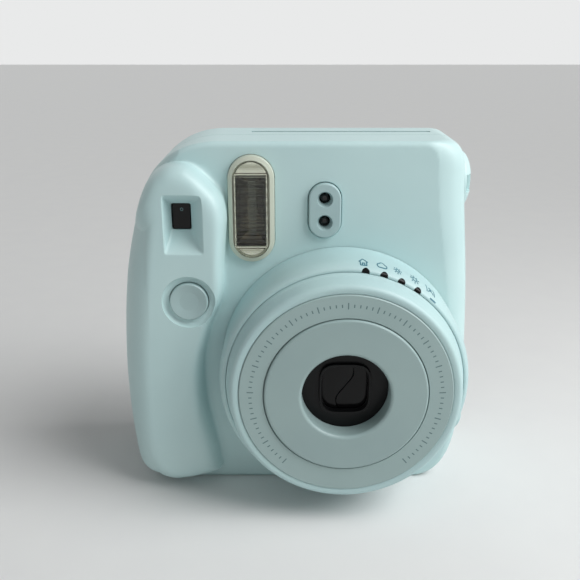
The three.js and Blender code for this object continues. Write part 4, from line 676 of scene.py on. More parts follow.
# ---------------------------------------------------------------- film door
# A flat ABS door over the film room, with three knuckles, a light-trap rib inside, a window to
# see the pack and a small one for the counter. A steel pin joins it to the rear cover.
WINDOW_Z, WINDOW_HALF = 54.0, (7.0, 20.0)
COUNTER_X, COUNTER_Z, COUNTER_HALF = -20.8, 22.0, 2.6
LATCH_Z = 62.0
INNER_DOOR = BACK - 2.3
RIB_TOP, RIB_FOOT = INNER_DOOR - 1.6, INNER_DOOR + 0.4


def door_window(middle_x, middle_z, half_x, half_z, radius):
    """Cutter for a pane's seat, right through the door."""
    outline = rounded_outline(middle_x, middle_z, half_x + GAP, half_z + GAP, radius)
    return prism(outline, INNER_DOOR - 3, BACK + 1)


door = carved(prism(door_outline(), INNER_DOOR, BACK + 2), copied(solid_form), operation="INTERSECT")
light_trap = moulded(rounded_outline(LENS_X - 0.3, 53.15, 30.2, 44.75, 3.0, 6),
                     [(0, RIB_TOP, 0.2), (0, RIB_FOOT, 0), (1.2, RIB_FOOT, 0), (1.2, RIB_TOP, 0.2)],
                     capped=False, steps=2)
stiffeners = [
    block((LENS_X - 30, INNER_DOOR - 1, z), (LENS_X + 29.5, RIB_FOOT, z + 1)) for z in (30.0, 53.1, 76.3)
]
carved(door, light_trap, *stiffeners, operation="UNION")
clearances = []
for i in (1, 3):
    low, high = knuckle_span(i, -GAP / 2)
    clearances.append(block((HINGE_X - KNUCKLE_R - GAP, INNER_DOOR - 3, low), (HINGE_X + 5, BACK + 1, high)))
carved(door, *clearances)
knuckles = [roll(*knuckle_span(i, GAP / 2)) for i in (0, 2, 4)]
edges = [roll(DOOR_BOTTOM + 3.5, knuckle_span(0, GAP / 2)[0] + 0.5),
         roll(knuckle_span(4, GAP / 2)[1] - 0.5, DOOR_TOP - 3.5)]
carved(door, *knuckles, *edges, operation="UNION")
carved(
    door,
    hinge_bore(),
    door_window(LENS_X, WINDOW_Z, *WINDOW_HALF, 3.3),
    door_window(COUNTER_X, COUNTER_Z, COUNTER_HALF, COUNTER_HALF, 1.2),
    prism(rounded_outline(DOOR_LEFT + 4.15, LATCH_Z, 5.15, 9.0, 0.9), BACK - 1.4, BACK + 1),
    block((DOOR_LEFT - 1, INNER_DOOR - 3, LATCH_Z - 6.3), (DOOR_LEFT + 7, BACK + 1, LATCH_Z + 6.3)),
)
fitted(shaded_by_form(door), "film_door_panel", SHELL_ABS, "back_door", "shell_plastic", "film_door")


# Drawn steel wire, cut and pushed in: bright, with faint lines along it. The lines are about a
# hundredth of a millimetre wide on the real wire and are drawn at a tenth.
def drawn_steel(name, roughness=0.28):
    made, tree, place = new_material(name)
    lines = add(tree, "Mapping", {"Scale": (9000.0, 9000.0, 160.0)}, {"Vector": place})
    fine = add(tree, "TexNoise", {"Scale": 1.0, "Detail": 2.0}, {"Vector": lines.outputs[0]}).outputs["Fac"]
    gloss = add(tree, "MapRange", {"To Min": roughness - 0.06, "To Max": roughness + 0.08}, {"Value": fine})
    tone = add(tree, "Mix", {"data_type": "RGBA", 6: linear("#c9ccce"), 7: linear("#b4b8bb")}, {0: fine})
    shader = add(tree, "BsdfPrincipled", {"Metallic": 1.0},
                 {"Base Color": tone.outputs[2], "Roughness": gloss.outputs[0]})
    add(tree, "OutputMaterial", links={"Surface": shader.outputs[0]})
    return made


STEEL = drawn_steel("bright_drawn_steel")
wire = roll(18, 88.3, 0.9, 0.15, 32)
fitted(eased(wire), "hinge_pin_wire", STEEL, "camera_body", "bright_steel", "hinge_pin")

# The catch: an ABS finger plate with ribs, which slides in the door's edge and has a guide
# plate behind it.
catch = moulded(rounded_outline(DOOR_LEFT + 3.15, LATCH_Z, 2.85, 8.7, 0.8, 6),
                [(0, BACK - 1.1, 0.1), (0, BACK - 0.5, 0.2)])
ridges = [
    moulded(rounded_outline(DOOR_LEFT + x + 0.35, LATCH_Z, 0.35, 6.0, 0.3, 4),
            [(0, BACK - 0.8, 0), (0, BACK, 0.2)], steps=3)
    for x in (1.4, 3.0, 4.6)
]
guide_face = INNER_DOOR - GAP
stem = block((DOOR_LEFT + 1, guide_face - 0.5, LATCH_Z - 6), (DOOR_LEFT + 4, BACK - 1, LATCH_Z + 6))
guide = block((DOOR_LEFT + 0.3, guide_face - 0.7, LATCH_Z - 10), (DOOR_LEFT + 5, guide_face, LATCH_Z + 10))
carved(catch, *ridges, stem, guide, operation="UNION")
fitted(eased(catch), "film_door_catch", SHELL_ABS, "door_latch", "shell_plastic", "film_door_latch")


# ---------------------------------------------------------------- windows in the film door
# Two cut acrylic panes pushed in from inside: a smoked one over the film pack and a clear one
# over the counter.
def acrylic(name, colour, passes, roughness=0.04, settings=None):
    """Cast acrylic: a hard gloss, with a very faint orange-peel from the mould."""
    made, tree, place = new_material(name)
    wave = add(tree, "TexNoise", {"Scale": 1 / MM / 3.0, "Detail": 1.0}, {"Vector": place}).outputs["Fac"]
    relief = add(tree, "Bump", {"Strength": 0.1, "Distance": 0.004 * MM}, {"Height": wave})
    gloss = add(tree, "MapRange", {"To Min": roughness, "To Max": roughness + 0.03}, {"Value": wave})
    shader = add(tree, "BsdfPrincipled",
                 {"Base Color": linear(colour), "IOR": 1.49, "Transmission Weight": passes,
                  **(settings or {})},
                 {"Roughness": gloss.outputs[0], "Normal": relief.outputs[0]})
    add(tree, "OutputMaterial", links={"Surface": shader.outputs[0]})
    return made


SMOKED = acrylic("smoked_acrylic", "#0d0e10", 0.25)
CLEAR = acrylic("clear_acrylic", "#eef5f4", 1.0)
pane = moulded(rounded_outline(LENS_X, WINDOW_Z, *WINDOW_HALF, 3.0),
               [(0, INNER_DOOR + 0.2, 0.1), (0, BACK - 0.5, 0.25)])
fitted(eased(pane), "film_pack_window", SMOKED, "back_door", "smoked_plastic", "film_door_window")
pane = moulded(rounded_outline(COUNTER_X, COUNTER_Z, COUNTER_HALF, COUNTER_HALF, 0.9),
               [(0, INNER_DOOR + 0.2, 0.1), (0, BACK - 0.3, 0.2)])
fitted(eased(pane), "shots_left_window", CLEAR, "back_door", "clear_plastic", "counter_window")

# ---------------------------------------------------------------- battery door
# A side panel of the grip, snapped in over two AA cells, with four shallow finger grooves.
GROOVE_DEPTH = 0.5
hatch = carved(copied(shell), hatch_reach(0), operation="INTERSECT")
grooves = []
for start in (4.5, 7.5, 10.5, 13.5):
    core = copied(solid_form)
    core.data.transform(Matrix.Translation((GROOVE_DEPTH * MM, 0, 0)))
    grooves.append(carved(block((LEFT - 2, start, 56.5), (LEFT + 4, start + 1, 64.5)), core))
carved(hatch, *grooves)
fitted(shaded_by_form(hatch), "battery_door_panel", SHELL_ABS, "battery_hatch", "shell_plastic",
       "battery_door")
bpy.data.objects.remove(shell)
bpy.data.objects.remove(solid_form)

# ---------------------------------------------------------------- fixed lens ring
# An ABS ring screwed to the front cover. Its rounded lip carries four lamp windows and printed
# symbols for the light, and its lobe carries the power button. Finer, more matt grain.
RING_R, DIAL_R = 39.5, 37.15
LIP_Y, LIP_X = -20, 37.55
LIP_REACH = (1.95, 6)
LAMP_ANGLES = [81.7 - 8.6 * i for i in range(4)]
RING_ABS = moulded_plastic("moulded_abs_ring_satin", "#b6d3d3", "#b0ccce", roughness=0.46, grain=0.3)


def arc(centre, reach, start, end, steps):
    """Profile points on an ellipse."""
    return [(centre[0] + reach[0] * math.cos(a), centre[1] + reach[1] * math.sin(a), 0)
            for a in np.radians(np.linspace(start, end, steps + 1))]


def lens_turned(corners, sides=192, steps=4):
    return turned(corners, LENS, "Y", sides, steps)


def round_lens(radius, degrees):
    turn = math.radians(degrees)
    return LENS_X + radius * math.cos(turn), LENS_Z + radius * math.sin(turn)


def lamp_outline(degrees, grow):
    """A small arch that stands on the ring's inner edge."""
    foot = np.array(round_lens(DIAL_R - 0.02, degrees))
    out = np.array([math.cos(math.radians(degrees)), math.sin(math.radians(degrees))])
    aside = np.array([-out[1], out[0]])

    def outline(inset):
        radius = 1.08 + grow - inset
        arch = [(radius * math.cos(t), 0.4 + radius * 0.9 * math.sin(t)) for t in np.linspace(math.pi, 0, 25)]
        path = [(-radius, -0.1), *arch, (radius, -0.1)]
        return [tuple(foot + u * aside + v * out) for u, v in path]
    return outline


ring = lens_turned([
    (33.05, -16.9, 0.2), (33.05, -14.5, 0), (37.55, -13.5, 0), (37.55, -6.8, 0), (RING_R, -6.8, 0.2),
    (RING_R, -19.9, 0), *arc((LIP_X, LIP_Y), LIP_REACH, 0, -90, 12), (37.17, -25.96, 0.1), (DIAL_R, -16.9, 0),
])
lobe = turned([(0, -12, 0), (6.1, -12, 1.2), (6.1, -6.8, 0), (0, -6.8, 0)], round_lens(RING_R, -28.2),
              "Y", 96, 6)
carved(lobe, pin(37.55, -40, 20, LENS, sides=192))
carved(ring, lobe, operation="UNION")
carved(
    ring,
    pin(4.25, -40, -9, POWER, sides=96),
    pin(POWER_PIN_R, -12, 0, POWER, sides=48),
    *[prism(lamp_outline(degrees, 0.15), -28, -22.85) for degrees in LAMP_ANGLES],
)
fitted(eased(ring), "lens_ring_fixed", RING_ABS, "camera_body", "shell_plastic", "lens_base_ring")

# The lamp windows are smoked acrylic, flush with the lip, so dark that they read as black.
LAMP_ACRYLIC = acrylic("dark_lamp_acrylic", "#050606", 0.0, settings={"Specular IOR Level": 0.15})
for i, degrees in enumerate(LAMP_ANGLES, 1):
    lamp = prism(lamp_outline(degrees, 0), -27, -23)
    lip = lens_turned([(37.3, -25.75, 0), (37.6, -25.8, 0), *arc((LIP_X, LIP_Y), (1.75, 5.8), -88, 0, 10),
                       (37.3, LIP_Y, 0)])
    carved(lamp, lip, operation="INTERSECT")
    fitted(eased(lamp), f"lamp_window_{i}", LAMP_ACRYLIC, "camera_body", "smoked_plastic",
           f"exposure_lamp_{i}")


# Symbols for the light: thin strokes of teal pad-printing ink, satin and slightly raised.
def pad_printing(name, colour):
    made, tree, place = new_material(name)
    speck = add(tree, "TexNoise", {"Scale": 1 / MM / 0.25, "Detail": 2.0}, {"Vector": place})
    *rgb, alpha = linear(colour)
    tone = add(tree, "Mix", {"data_type": "RGBA", 6: (*rgb, alpha), 7: (*[c * 1.25 for c in rgb], alpha)},
               {0: speck.outputs["Fac"]})
    shader = add(tree, "BsdfPrincipled", {"Roughness": 0.5, "IOR": 1.5}, {"Base Color": tone.outputs[2]})
    add(tree, "OutputMaterial", links={"Surface": shader.outputs[0]})
    return made


INK_THICKNESS = 0.03


def stroked(lines, place, width=0.26):
    """Closed ribbons along lines, laid on a surface by a function of (u, v, lift)."""
    points, faces = [], []
    for line in lines:
        line = np.array(line, float)
        reach = np.insert(np.cumsum(np.linalg.norm(np.diff(line, axis=0), axis=1)), 0, 0)
        count = max(int(reach[-1] / 0.12) + 2, 3)
        along = np.linspace(0, reach[-1], count)
        path = np.stack([np.interp(along, reach, line[:, k]) for k in (0, 1)], axis=1)
        way = np.gradient(path, axis=0)
        way /= np.maximum(np.linalg.norm(way, axis=1, keepdims=True), 1e-9)
        side = np.stack([-way[:, 1], way[:, 0]], axis=1) * width / 2
        start = len(points)
        for spot, shift in zip(path, side):
            for sign, level in ((-1, -1), (1, -1), (1, 1), (-1, 1)):
                points.append(place(*(spot + sign * shift), level * INK_THICKNESS))
        for k in range(count - 1):
            for edge in range(4):
                a, b = start + 4 * k + edge, start + 4 * k + (edge + 1) % 4
                faces.append([a, b, b + 4, a + 4])
        faces += [[start + edge for edge in (3, 2, 1, 0)],
                  [start + 4 * (count - 1) + edge for edge in range(4)]]
    return points, faces


def printed(name, ink, body, slot, *marks):
    """One piece of ink from marks, each given as its lines, the surface it lies on and its width."""
    points, faces = [], []
    for mark in marks:
        more_points, more_faces = stroked(*mark)
        faces += [[k + len(points) for k in face] for face in more_faces]
        points += more_points
    return fitted(mesh_object(points, faces), name, ink, body, slot)


def circle_line(u, v, radius, start=0, end=360, steps=16):
    return [(u + radius * math.cos(t), v + radius * math.sin(t))
            for t in np.radians(np.linspace(start, end, steps + 1))]


def rays(low, high, count=8):
    return [
        [(low * math.cos(t), low * math.sin(t)), (high * math.cos(t), high * math.sin(t))]
        for t in np.arange(count) * 2 * math.pi / count
    ]


def on_lip(u, v, degrees, lift):
    """A point on the ring's lip: u millimetres round it and v down its curve from the front."""
    slope = math.radians(-80 + 25.5 * v)
    beyond, slope = max(slope, 0), min(slope, 0)
    x, z = round_lens(LIP_X + (LIP_REACH[0] + lift) * math.cos(slope), degrees - math.degrees(u / 38.5))
    return x, LIP_Y + (LIP_REACH[1] + lift) * math.sin(slope) + LIP_REACH[1] * beyond, z


def symbol_place(degrees):
    """Stands a symbol upright on the lip, at an angle round the lens."""
    return lambda u, v, lift: on_lip(1.35 * u, 2.5 - v, degrees, lift)


HOUSE = [[(-1.0, 0.1), (0, -0.9), (1.0, 0.1)], [(-0.7, 0), (-0.7, 1.0), (0.7, 1.0), (0.7, 0)],
         [(-0.25, 0.95), (-0.25, 0.4), (0.25, 0.4), (0.25, 0.95)]]
CLOUD = [[*circle_line(-0.5, 0.2, 0.55, 100, 250, 8), *circle_line(0.1, -0.25, 0.55, 200, 330, 8),
          *circle_line(0.7, 0.3, 0.45, 280, 440, 8), (-0.6, 0.74)]]
SUN = [circle_line(0, 0, 0.42), *rays(0.68, 0.98)]
BRIGHT_SUN = [circle_line(0, 0, 0.5), *rays(0.72, 1.2)]
FRAMED_FIGURE = [circle_line(0, -0.35, 0.35), circle_line(0, 0.95, 0.7, 190, 350, 10),
                 [(-1.1, -1.0), (-1.1, 1.0)], [(1.1, -1.0), (1.1, 1.0)]]
SYMBOLS = {82.7: HOUSE, 74.4: CLOUD, 66.9: SUN, 58.2: BRIGHT_SUN, 49.2: FRAMED_FIGURE}
TEAL_INK = pad_printing("teal_pad_printing", "#2b6474")
printed("printed_light_symbols", TEAL_INK, "camera_body", "black_plastic",
        *[(lines, symbol_place(degrees)) for degrees, lines in SYMBOLS.items()],
        ([[(-1.2, 0.35), (1.2, 0.35)]], lambda u, v, lift: on_lip(u, v, 47.3, lift), 0.5))

# ---------------------------------------------------------------- brightness dial
# A ring that turns between the barrel and the fixed ring: soft shoulder, fine matt grain, the
# ring's own finish, with one printed dash that points at a symbol.
dial = lens_turned([
    (32.82, -17.2, 0), (37.05, -17.2, 0.15), (37.05, -25.95, 0.15), (36.5, -27.5, 0.5),
    *arc((34.15, -31.1), (1.6, 2.1), -20, -92, 10), (33.2, -33.2, 0), (32.82, -33.0, 0),
])
fitted(eased(dial), "brightness_ring", RING_ABS, "dial", "shell_plastic", "brightness_dial")


def on_dial(u, v, lift):
    x, z = round_lens(35.3 + 0.45 * v + lift, 80 - math.degrees(u / 35.5))
    return x, -31.6 + 2.2 * v - lift * 0.4, z


printed("printed_dial_mark", TEAL_INK, "dial", "black_plastic", ([[(0, -0.1), (0, 0.9)]], on_dial, 0.7))

# ---------------------------------------------------------------- lens barrel
# A straight ABS sleeve that slides out when the camera is switched on. Its front band carries
# a plain printed graduation, and a flange at the back keeps it in the ring.
BAND_R, BAND_Y = 29.2, -33.44
TICKS, TICK_STEP, FIRST_TICK = 81, 3.5, 230
# The sleeve's darker, greyer colour is partly its own tone and partly painted shade on its front face.
BAND_ABS_PAINTED_SHADE = moulded_plastic("moulded_abs_barrel_tone_and_painted_shade", "#9eb4b3", "#99afae",
                           roughness=0.5, grain=0.28, depth=0.014)
barrel = lens_turned([
    (25.3, -33.4, 0.1), (32.4, -33.5, 0), (32.7, -33.2, 0), (32.7, 2.8, 0), (35, 2.8, 0.2), (35, 4.2, 0.2),
    (30.9, 4.2, 0.2), (30.9, -30.9, 0), (14.8, -30.9, 0), (14.8, -32.1, 0.1), (25.3, -32.1, 0),
])
fitted(eased(barrel), "lens_sleeve", BAND_ABS_PAINTED_SHADE, "barrel", "shell_plastic", "lens_barrel")


def on_band(degrees):
    def place(u, v, lift):
        x, z = round_lens(BAND_R + v, degrees - math.degrees(u / BAND_R))
        return x, BAND_Y - lift, z
    return place


ticks = []
for k in range(TICKS):
    reach = 1.0 if k % 5 == 0 else 0.5
    ticks.append(([[(0, -reach), (0, reach)]], on_band(FIRST_TICK - TICK_STEP * k), 0.34))
GREY_INK = pad_printing("grey_pad_printing", "#5b7274")
printed("printed_graduation", GREY_INK, "barrel", "black_plastic", *ticks)

# The front disc: a smooth ABS cap with rolled edges and a round eye, glued in front.
# The disc's darker, greyer colour is partly its own tone and partly painted shade on its face.
DISC_ABS_PAINTED_SHADE = moulded_plastic("moulded_abs_disc_tone_and_painted_shade", "#99afae", "#94aaaa",
                           roughness=0.4, grain=0.3, depth=0.008)
disc = lens_turned([
    (13.5, -27.8, 0), (14.5, -27.8, 0), (14.5, -32.4, 0), (25, -32.4, 0),
    *arc((24.3, -33.4), (0.7, 0.7), 0, -90, 6), (24.2, -34.1, 0), (14.7, -34.1, 0),
    *arc((14.6, -33.0), (1.1, 1.1), -90, -180, 8),
])
fitted(eased(disc), "lens_front_disc", DISC_ABS_PAINTED_SHADE, "barrel", "shell_plastic", "front_disc")

# ---------------------------------------------------------------- lens cover
# Black moulded plate with a raised frame round the hatch, sunk behind the eye's pale wall, and
# two thin leaves that part when the barrel comes out. Their meeting edge is a flat S. The whole
# lens pack sits SINK further back in the sleeve than its plain solids.
SINK = 3.0
BOWING = 0.52
DULL_GLOSS = {"Specular IOR Level": 0.2}
BLACK_ABS = moulded_plastic("moulded_black_abs", "#08090a", "#0c0d0e", roughness=0.34, grain=0.3, depth=0.008,
                            settings=DULL_GLOSS)


def sunk(corners):
    """The same profile, further back in the sleeve."""
    return [(across, SINK + along, fillet) for across, along, fillet in corners]


def bowed_outline(half_x, half_z):
    """A frame whose sides bow out, between a circle and a rectangle."""
    def bowed(share):
        return math.copysign(abs(share) ** BOWING, share)

    def outline(inset):
        return [(LENS_X + (half_x - inset) * bowed(math.cos(t)),
                 LENS_Z + (half_z - inset) * bowed(math.sin(t)))
                for t in np.linspace(0, 2 * math.pi, 97)[:-1]]
    return outline


plate = turned(sunk([(0, -30.6, 0), (28, -30.6, 0.15), (28, -29.8, 0), (0, -29.8, 0)]), LENS, "Y", 128, 3)
raised = moulded(bowed_outline(8.2, 8.6),
                 sunk([(0.25, -31.9, 0.1), (0, -30, 0), (1.1, -30, 0), (0.85, -31.9, 0.1)]),
                 capped=False, steps=2)
pins = [pin(1.0, SINK - 31.5, SINK - 30.2, (LENS_X + aside, LENS_Z + aside), sides=32)
        for aside in (-13.5, 13.5)]
carved(plate, raised, *pins, operation="UNION")
carved(plate, prism(bowed_outline(7.1, 7.5), SINK - 34, SINK - 28))
fitted(eased(plate), "lens_cover_frame", BLACK_ABS, "barrel", "black_plastic", "lens_cover_plate")

# The leaves are acetal, polished by the mould: slippery, with a sharper highlight than the plate.
GLOSS_BLACK = moulded_plastic("polished_black_acetal", "#060607", "#09090a", roughness=0.16, grain=2.0,
                              depth=0.002, settings=DULL_GLOSS)
SEAM = [(-0.15, 11), (2.2, 7.5), (2.6, 3.8), (0, 0), (-2.6, -3.8), (-2.2, -7.5), (-0.15, -11)]
OUTSIDE = [(-7.4, -11.3), (-9.5, 0), (-10, 9), (-16, 10.5), (-16.5, 14), (-13.5, 16.3), (-9, 14.5)]
LEAF_EDGE = [(x - 0.15, z) for x, z in smooth_loop(SEAM)[:73]] + OUTSIDE


def leaf_outline(side):
    """One leaf's edge, the other leaf's turned half round."""
    middle_x, middle_z = np.mean(LEAF_EDGE, axis=0)

    def outline(inset):
        return [(LENS_X + side * (x + (middle_x - x) * inset * 0.1),
                 LENS_Z + side * (z + (middle_z - z) * inset * 0.1))
                for x, z in LEAF_EDGE]
    return outline


for side, body in ((1, "leaf_left"), (-1, "leaf_right")):
    leaf = moulded(leaf_outline(side), sunk([(0.4, -29.5, 0), (0, -29.4, 0), (0, -28.9, 0)]))
    fitted(eased(leaf), f"cover_{body}", GLOSS_BLACK, body, "black_plastic", f"lens_cover_{body}")

# Behind the leaves: the shutter's flat housing, the tube of the lens and its two coated glasses.
CHASSIS_ABS = moulded_plastic("moulded_chassis_abs", "#17191b", "#1f2123",
                              roughness=0.55, grain=0.4, depth=0.02)
GLASS = acrylic("coated_lens_glass", "#e4eef4", 1.0, 0.02)
DOME_R, DOME_HEIGHT, DOME_SPAN = 7.1, 1.1, 1.2
housing = lens_turned(sunk([(9.3, -28.6, 0), (30.6, -28.6, 0.2), (30.6, -21.1, 0.2), (14.3, -21.1, 0),
                            (13.3, -18.1, 0), (9.3, -18.1, 0)]), 96)
fitted(eased(housing), "shutter_housing", CHASSIS_ABS, "barrel", "black_plastic", "shutter_unit")
tube = lens_turned(sunk([(7.5, -28.3, 0), (9, -28.3, 0.15), (9, -15.1, 0), (7.5, -15.1, 0)]), 96)
fitted(eased(tube), "lens_cell_tube", CHASSIS_ABS, "barrel", "black_plastic", "lens_tube")
for front, thick, name, node in ((-28.0, 3.4, "front_element", "front_lens"),
                                 (-22.7, 3.0, "rear_element", "rear_lens")):
    dome = [(DOME_R * math.sin(t),
             SINK + front + DOME_HEIGHT * (1 - math.cos(t)) / (1 - math.cos(DOME_SPAN)), 0)
            for t in np.linspace(0, DOME_SPAN, 8)]
    far = [(r, 2 * SINK + 2 * front + thick - y, 0) for r, y, _ in dome[::-1]]
    glass = turned([*dome, *far], LENS, "Y", 64)
    fitted(eased(glass), name, GLASS, "barrel", "clear_plastic", node)

# ---------------------------------------------------------------- shutter release
# A round ABS button with a domed face and a flange behind the cover, on a steel coil spring.
BUTTON_ABS = moulded_plastic("moulded_abs_button_satin", "#a7c0c0", "#a1babb", roughness=0.38, grain=0.3)
button = turned([
    (0, -15.1, 0), (3, -15.28, 0.6), (5.4, -15.75, 0.3), (5.75, -15.8, 0.15), (6.1, -15.4, 0.15),
    (6.1, -11.7, 0), (7.1, -11.7, 0.15), (7.1, -10.7, 0.15), (2, -10.7, 0), (2, -8, 0.2), (0, -8, 0),
], SHUTTER, "Y", 128, 4)
fitted(eased(button), "shutter_release_button", BUTTON_ABS, "release", "shell_plastic", "shutter_button")

# ---------------------------------------------------------------- power button
# A small ABS push button in the lobe of the lens ring, with its pin through the front cover and
# the common power mark printed on its face.
button = turned([
    (0, -12.55, 0), (2.6, -12.7, 0.5), (3.9, -12.8, 0.7), (3.9, -10.2, 0), (1.5, -10.2, 0),
    (1.5, -3.5, 0.2), (0, -3.5, 0),
], POWER, "Y", 96, 5)
fitted(eased(button), "power_push_button", RING_ABS, "power", "shell_plastic", "power_button")


def on_power_button(u, v, lift):
    return POWER[0] + u, -12.66 - 0.02 * math.hypot(u, v) - lift, POWER[1] + v


mark = [circle_line(0, 0, 1.35, 125, 415, 24), [(0, 0.4), (0, 1.6)]]
printed("printed_power_mark", TEAL_INK, "power", "black_plastic", (mark, on_power_button, 0.3))

# ---------------------------------------------------------------- flash
# A thick moulded acrylic lens with fine grooves across it, over a reflector with bright ribbed
# round ends and a xenon tube; the reflector's bowl is coloured dark, painted shade. It stands proud of the
# front cover.
PANE_X, PANE_Z, PANE_HALF_X, PANE_HALF_Z = -13.95, 96.85, 4.95, 11.55
GROOVES, GROOVE_PITCH = 20, 1.15
RIM_WIDTH, RECESS = 1.5, 2.1


def flash_acrylic(name):
    """Clear acrylic with a slight warm green tint in its thick rim."""
    made, tree, place = new_material(name)
    wave = add(tree, "TexNoise", {"Scale": 1 / MM / 4.0, "Detail": 1.0}, {"Vector": place})
    gloss = add(tree, "MapRange", {"To Min": 0.06, "To Max": 0.11}, {"Value": wave.outputs["Fac"]})
    shader = add(tree, "BsdfPrincipled",
                 {"Base Color": linear("#f2f6ea"), "IOR": 1.49, "Transmission Weight": 1.0},
                 {"Roughness": gloss.outputs[0]})
    add(tree, "OutputMaterial", links={"Surface": shader.outputs[0]})
    return made


FLASH_ACRYLIC = flash_acrylic("moulded_flash_acrylic")
lens = moulded(flash_outline(-0.02), [(0, -4.5, 0), (0, -7.4, 0), (0.12, -8.3, 0.4), (1.5, -8.9, 0.9)])
grooves = []
for k in range(GROOVES):
    z = PANE_Z - PANE_HALF_Z + 0.6 + GROOVE_PITCH * k
    section = [(-9.1, z - 0.26), (-8.55, z), (-9.1, z + 0.26)]
    points = [(x, y, height) for x in (PANE_X - PANE_HALF_X, PANE_X + PANE_HALF_X) for y, height in section]
    grooves.append(solid(points, [[0, 1, 2], [5, 4, 3], [0, 3, 4, 1], [1, 4, 5, 2], [2, 5, 3, 0]]))
carved(lens, *grooves)
rim = carved(copied(lens), prism(flash_outline(-RIM_WIDTH), -12, -2))
carved(lens, prism(flash_outline(-RIM_WIDTH), -12, -2), operation="INTERSECT")
fitted(eased(lens), "flash_lens_moulding", FLASH_ACRYLIC, "camera_body", "clear_plastic", "flash_lens")
# The rim is pale and mostly opaque: partly its own green tint, partly painted light for the brightness the
# clear rim catches.
RIM_ACRYLIC_PAINTED_LIGHT = acrylic("moulded_acrylic_rim_tint_and_painted_light", "#cfd6c6", 0.15, 0.1)
fitted(eased(rim), "flash_lens_rim", RIM_ACRYLIC_PAINTED_LIGHT, "camera_body", "clear_plastic")


def aluminised(name, colour, shade, roughness):
    """Vacuum-coated plastic: a mirror, slightly warm, with fine ribs whose colour bands between two tones as
    painted sheen.
    """
    made, tree, place = new_material(name)
    ribs = add(tree, "TexWave", {"wave_type": "BANDS", "bands_direction": "Z", "Scale": 1 / MM / 1.5 / 6.28,
                                 "Distortion": 0.3}, {"Vector": place}).outputs["Fac"]
    # The tone follows the ribs: painted sheen, lighter and darker bands laid in the colour.
    tone = add(tree, "Mix", {"data_type": "RGBA", 6: linear(colour), 7: linear(shade)}, {0: ribs})
    relief = add(tree, "Bump", {"Strength": 0.4, "Distance": 0.1 * MM}, {"Height": ribs})
    shader = add(tree, "BsdfPrincipled", {"Metallic": 1.0, "Roughness": roughness},
                 {"Base Color": tone.outputs[2], "Normal": relief.outputs[0]})
    add(tree, "OutputMaterial", links={"Surface": shader.outputs[0]})
    return made


# The bowl's dark, warm tones are painted shade for the dark it sits in behind the lens.
MIRROR_PAINTED_SHADE = aluminised("aluminised_reflector_painted_shade", "#3f362e", "#6b6054", 0.34)
bowl_mouth = rounded_outline(PANE_X, PANE_Z, PANE_HALF_X, PANE_HALF_Z, 0.4, 6)
reflector = moulded(flash_outline(-RECESS, 16), [(0, -6.9, 0.1), (0, -5.9, 0)])
bowl = moulded(bowl_mouth, [(-0.5, -6.2, 0), (-0.3, -4, 0), (0.9, -1.4, 0), (2.9, 0.5, 0)])
carved(reflector, bowl, operation="UNION")
hollow = [(0, -8, 0), (0, -6.4, 0), (0.25, -4, 0), (1.4, -1.7, 0), (3.4, 0.0, 0)]
carved(reflector, moulded(bowl_mouth, hollow))
fitted(eased(reflector, 50), "flash_reflector_bowl", MIRROR_PAINTED_SHADE, "camera_body", "bright_steel", "flash_reflector")

# Bright parts under the lens: a thin polished frame round the reflector, ribbed half-round ends
# above and below it, and a pale ring behind the rim of the lens, painted light that makes the clear rim read
# bright.
BRIGHT_COAT = aluminised("bright_coated_trim", "#eeeee6", "#c9c9be", 0.25)
border = moulded(rounded_outline(PANE_X, PANE_Z, PANE_HALF_X + 0.3, PANE_HALF_Z + 0.3, 0.5, 6),
                 [(0, -7.35, 0.08), (0, -6.95, 0), (0.55, -6.95, 0), (0.55, -7.35, 0.08)],
                 capped=False, steps=2)
fitted(eased(border), "flash_bright_frame", BRIGHT_COAT, "camera_body", "bright_steel")
for side, name in ((1, "upper"), (-1, "lower")):
    end = moulded(flash_outline(-RECESS, 16), [(0.1, -7.3, 0.1), (0.1, -6.95, 0)])
    edge = PANE_Z + side * (PANE_HALF_Z + 0.55)
    low, high = sorted((edge, edge - side * 60))
    carved(end, block((-30, -9, low), (5, -5, high)))
    for k in range(6):
        z = edge + side * (0.45 + 0.7 * k)
        carved(end, block((-30, -7.6, z - 0.14), (5, -7.05, z + 0.14)))
    fitted(eased(end), f"flash_ribbed_end_{name}", BRIGHT_COAT, "camera_body", "bright_steel")
# A pale ring behind the clear rim: painted light, so the rim reads bright.
RIM_BACKING_PAINTED_LIGHT = moulded_plastic("pale_rim_backing_painted_light", "#eef1e0", "#e2e6d2",
                              roughness=0.3, grain=1.2, depth=0.004)
guide = moulded(flash_outline(-0.35), [(0, -6.6, 0), (0, -6.2, 0), (1.7, -6.2, 0), (1.7, -6.6, 0)],
                capped=False)
fitted(eased(guide), "flash_rim_backing", RIM_BACKING_PAINTED_LIGHT, "camera_body", "clear_plastic")

# ---------------------------------------------------------------- light sensor
# An ABS pill with two funnel eyes; a smoked pane sits at the bottom of each.
EYE_HEIGHTS = (100.65, 93.25)
funnel = [(0, -9, 0), (2.75, -9, 0), (2.5, -8.05, 0), (1.8, -6.2, 0), (1.75, -4, 0), (0, -4, 0)]
bezel = moulded(sensor_outline(-0.02), [(0, -4.5, 0), (0, -7.6, 0), (0.15, -8.1, 0.45)])
carved(bezel, *[turned(funnel, (SENSOR_X, z), "Y", 64, 3) for z in EYE_HEIGHTS])
SENSOR_ABS = moulded_plastic("moulded_abs_sensor_satin", "#a9c3c3", "#a3bcbe", roughness=0.4, grain=0.3)
fitted(eased(bezel), "sensor_pill", SENSOR_ABS, "camera_body", "shell_plastic", "sensor_bezel")
dressed(SMOKED, "sensor_window_upper", "sensor_window_lower")

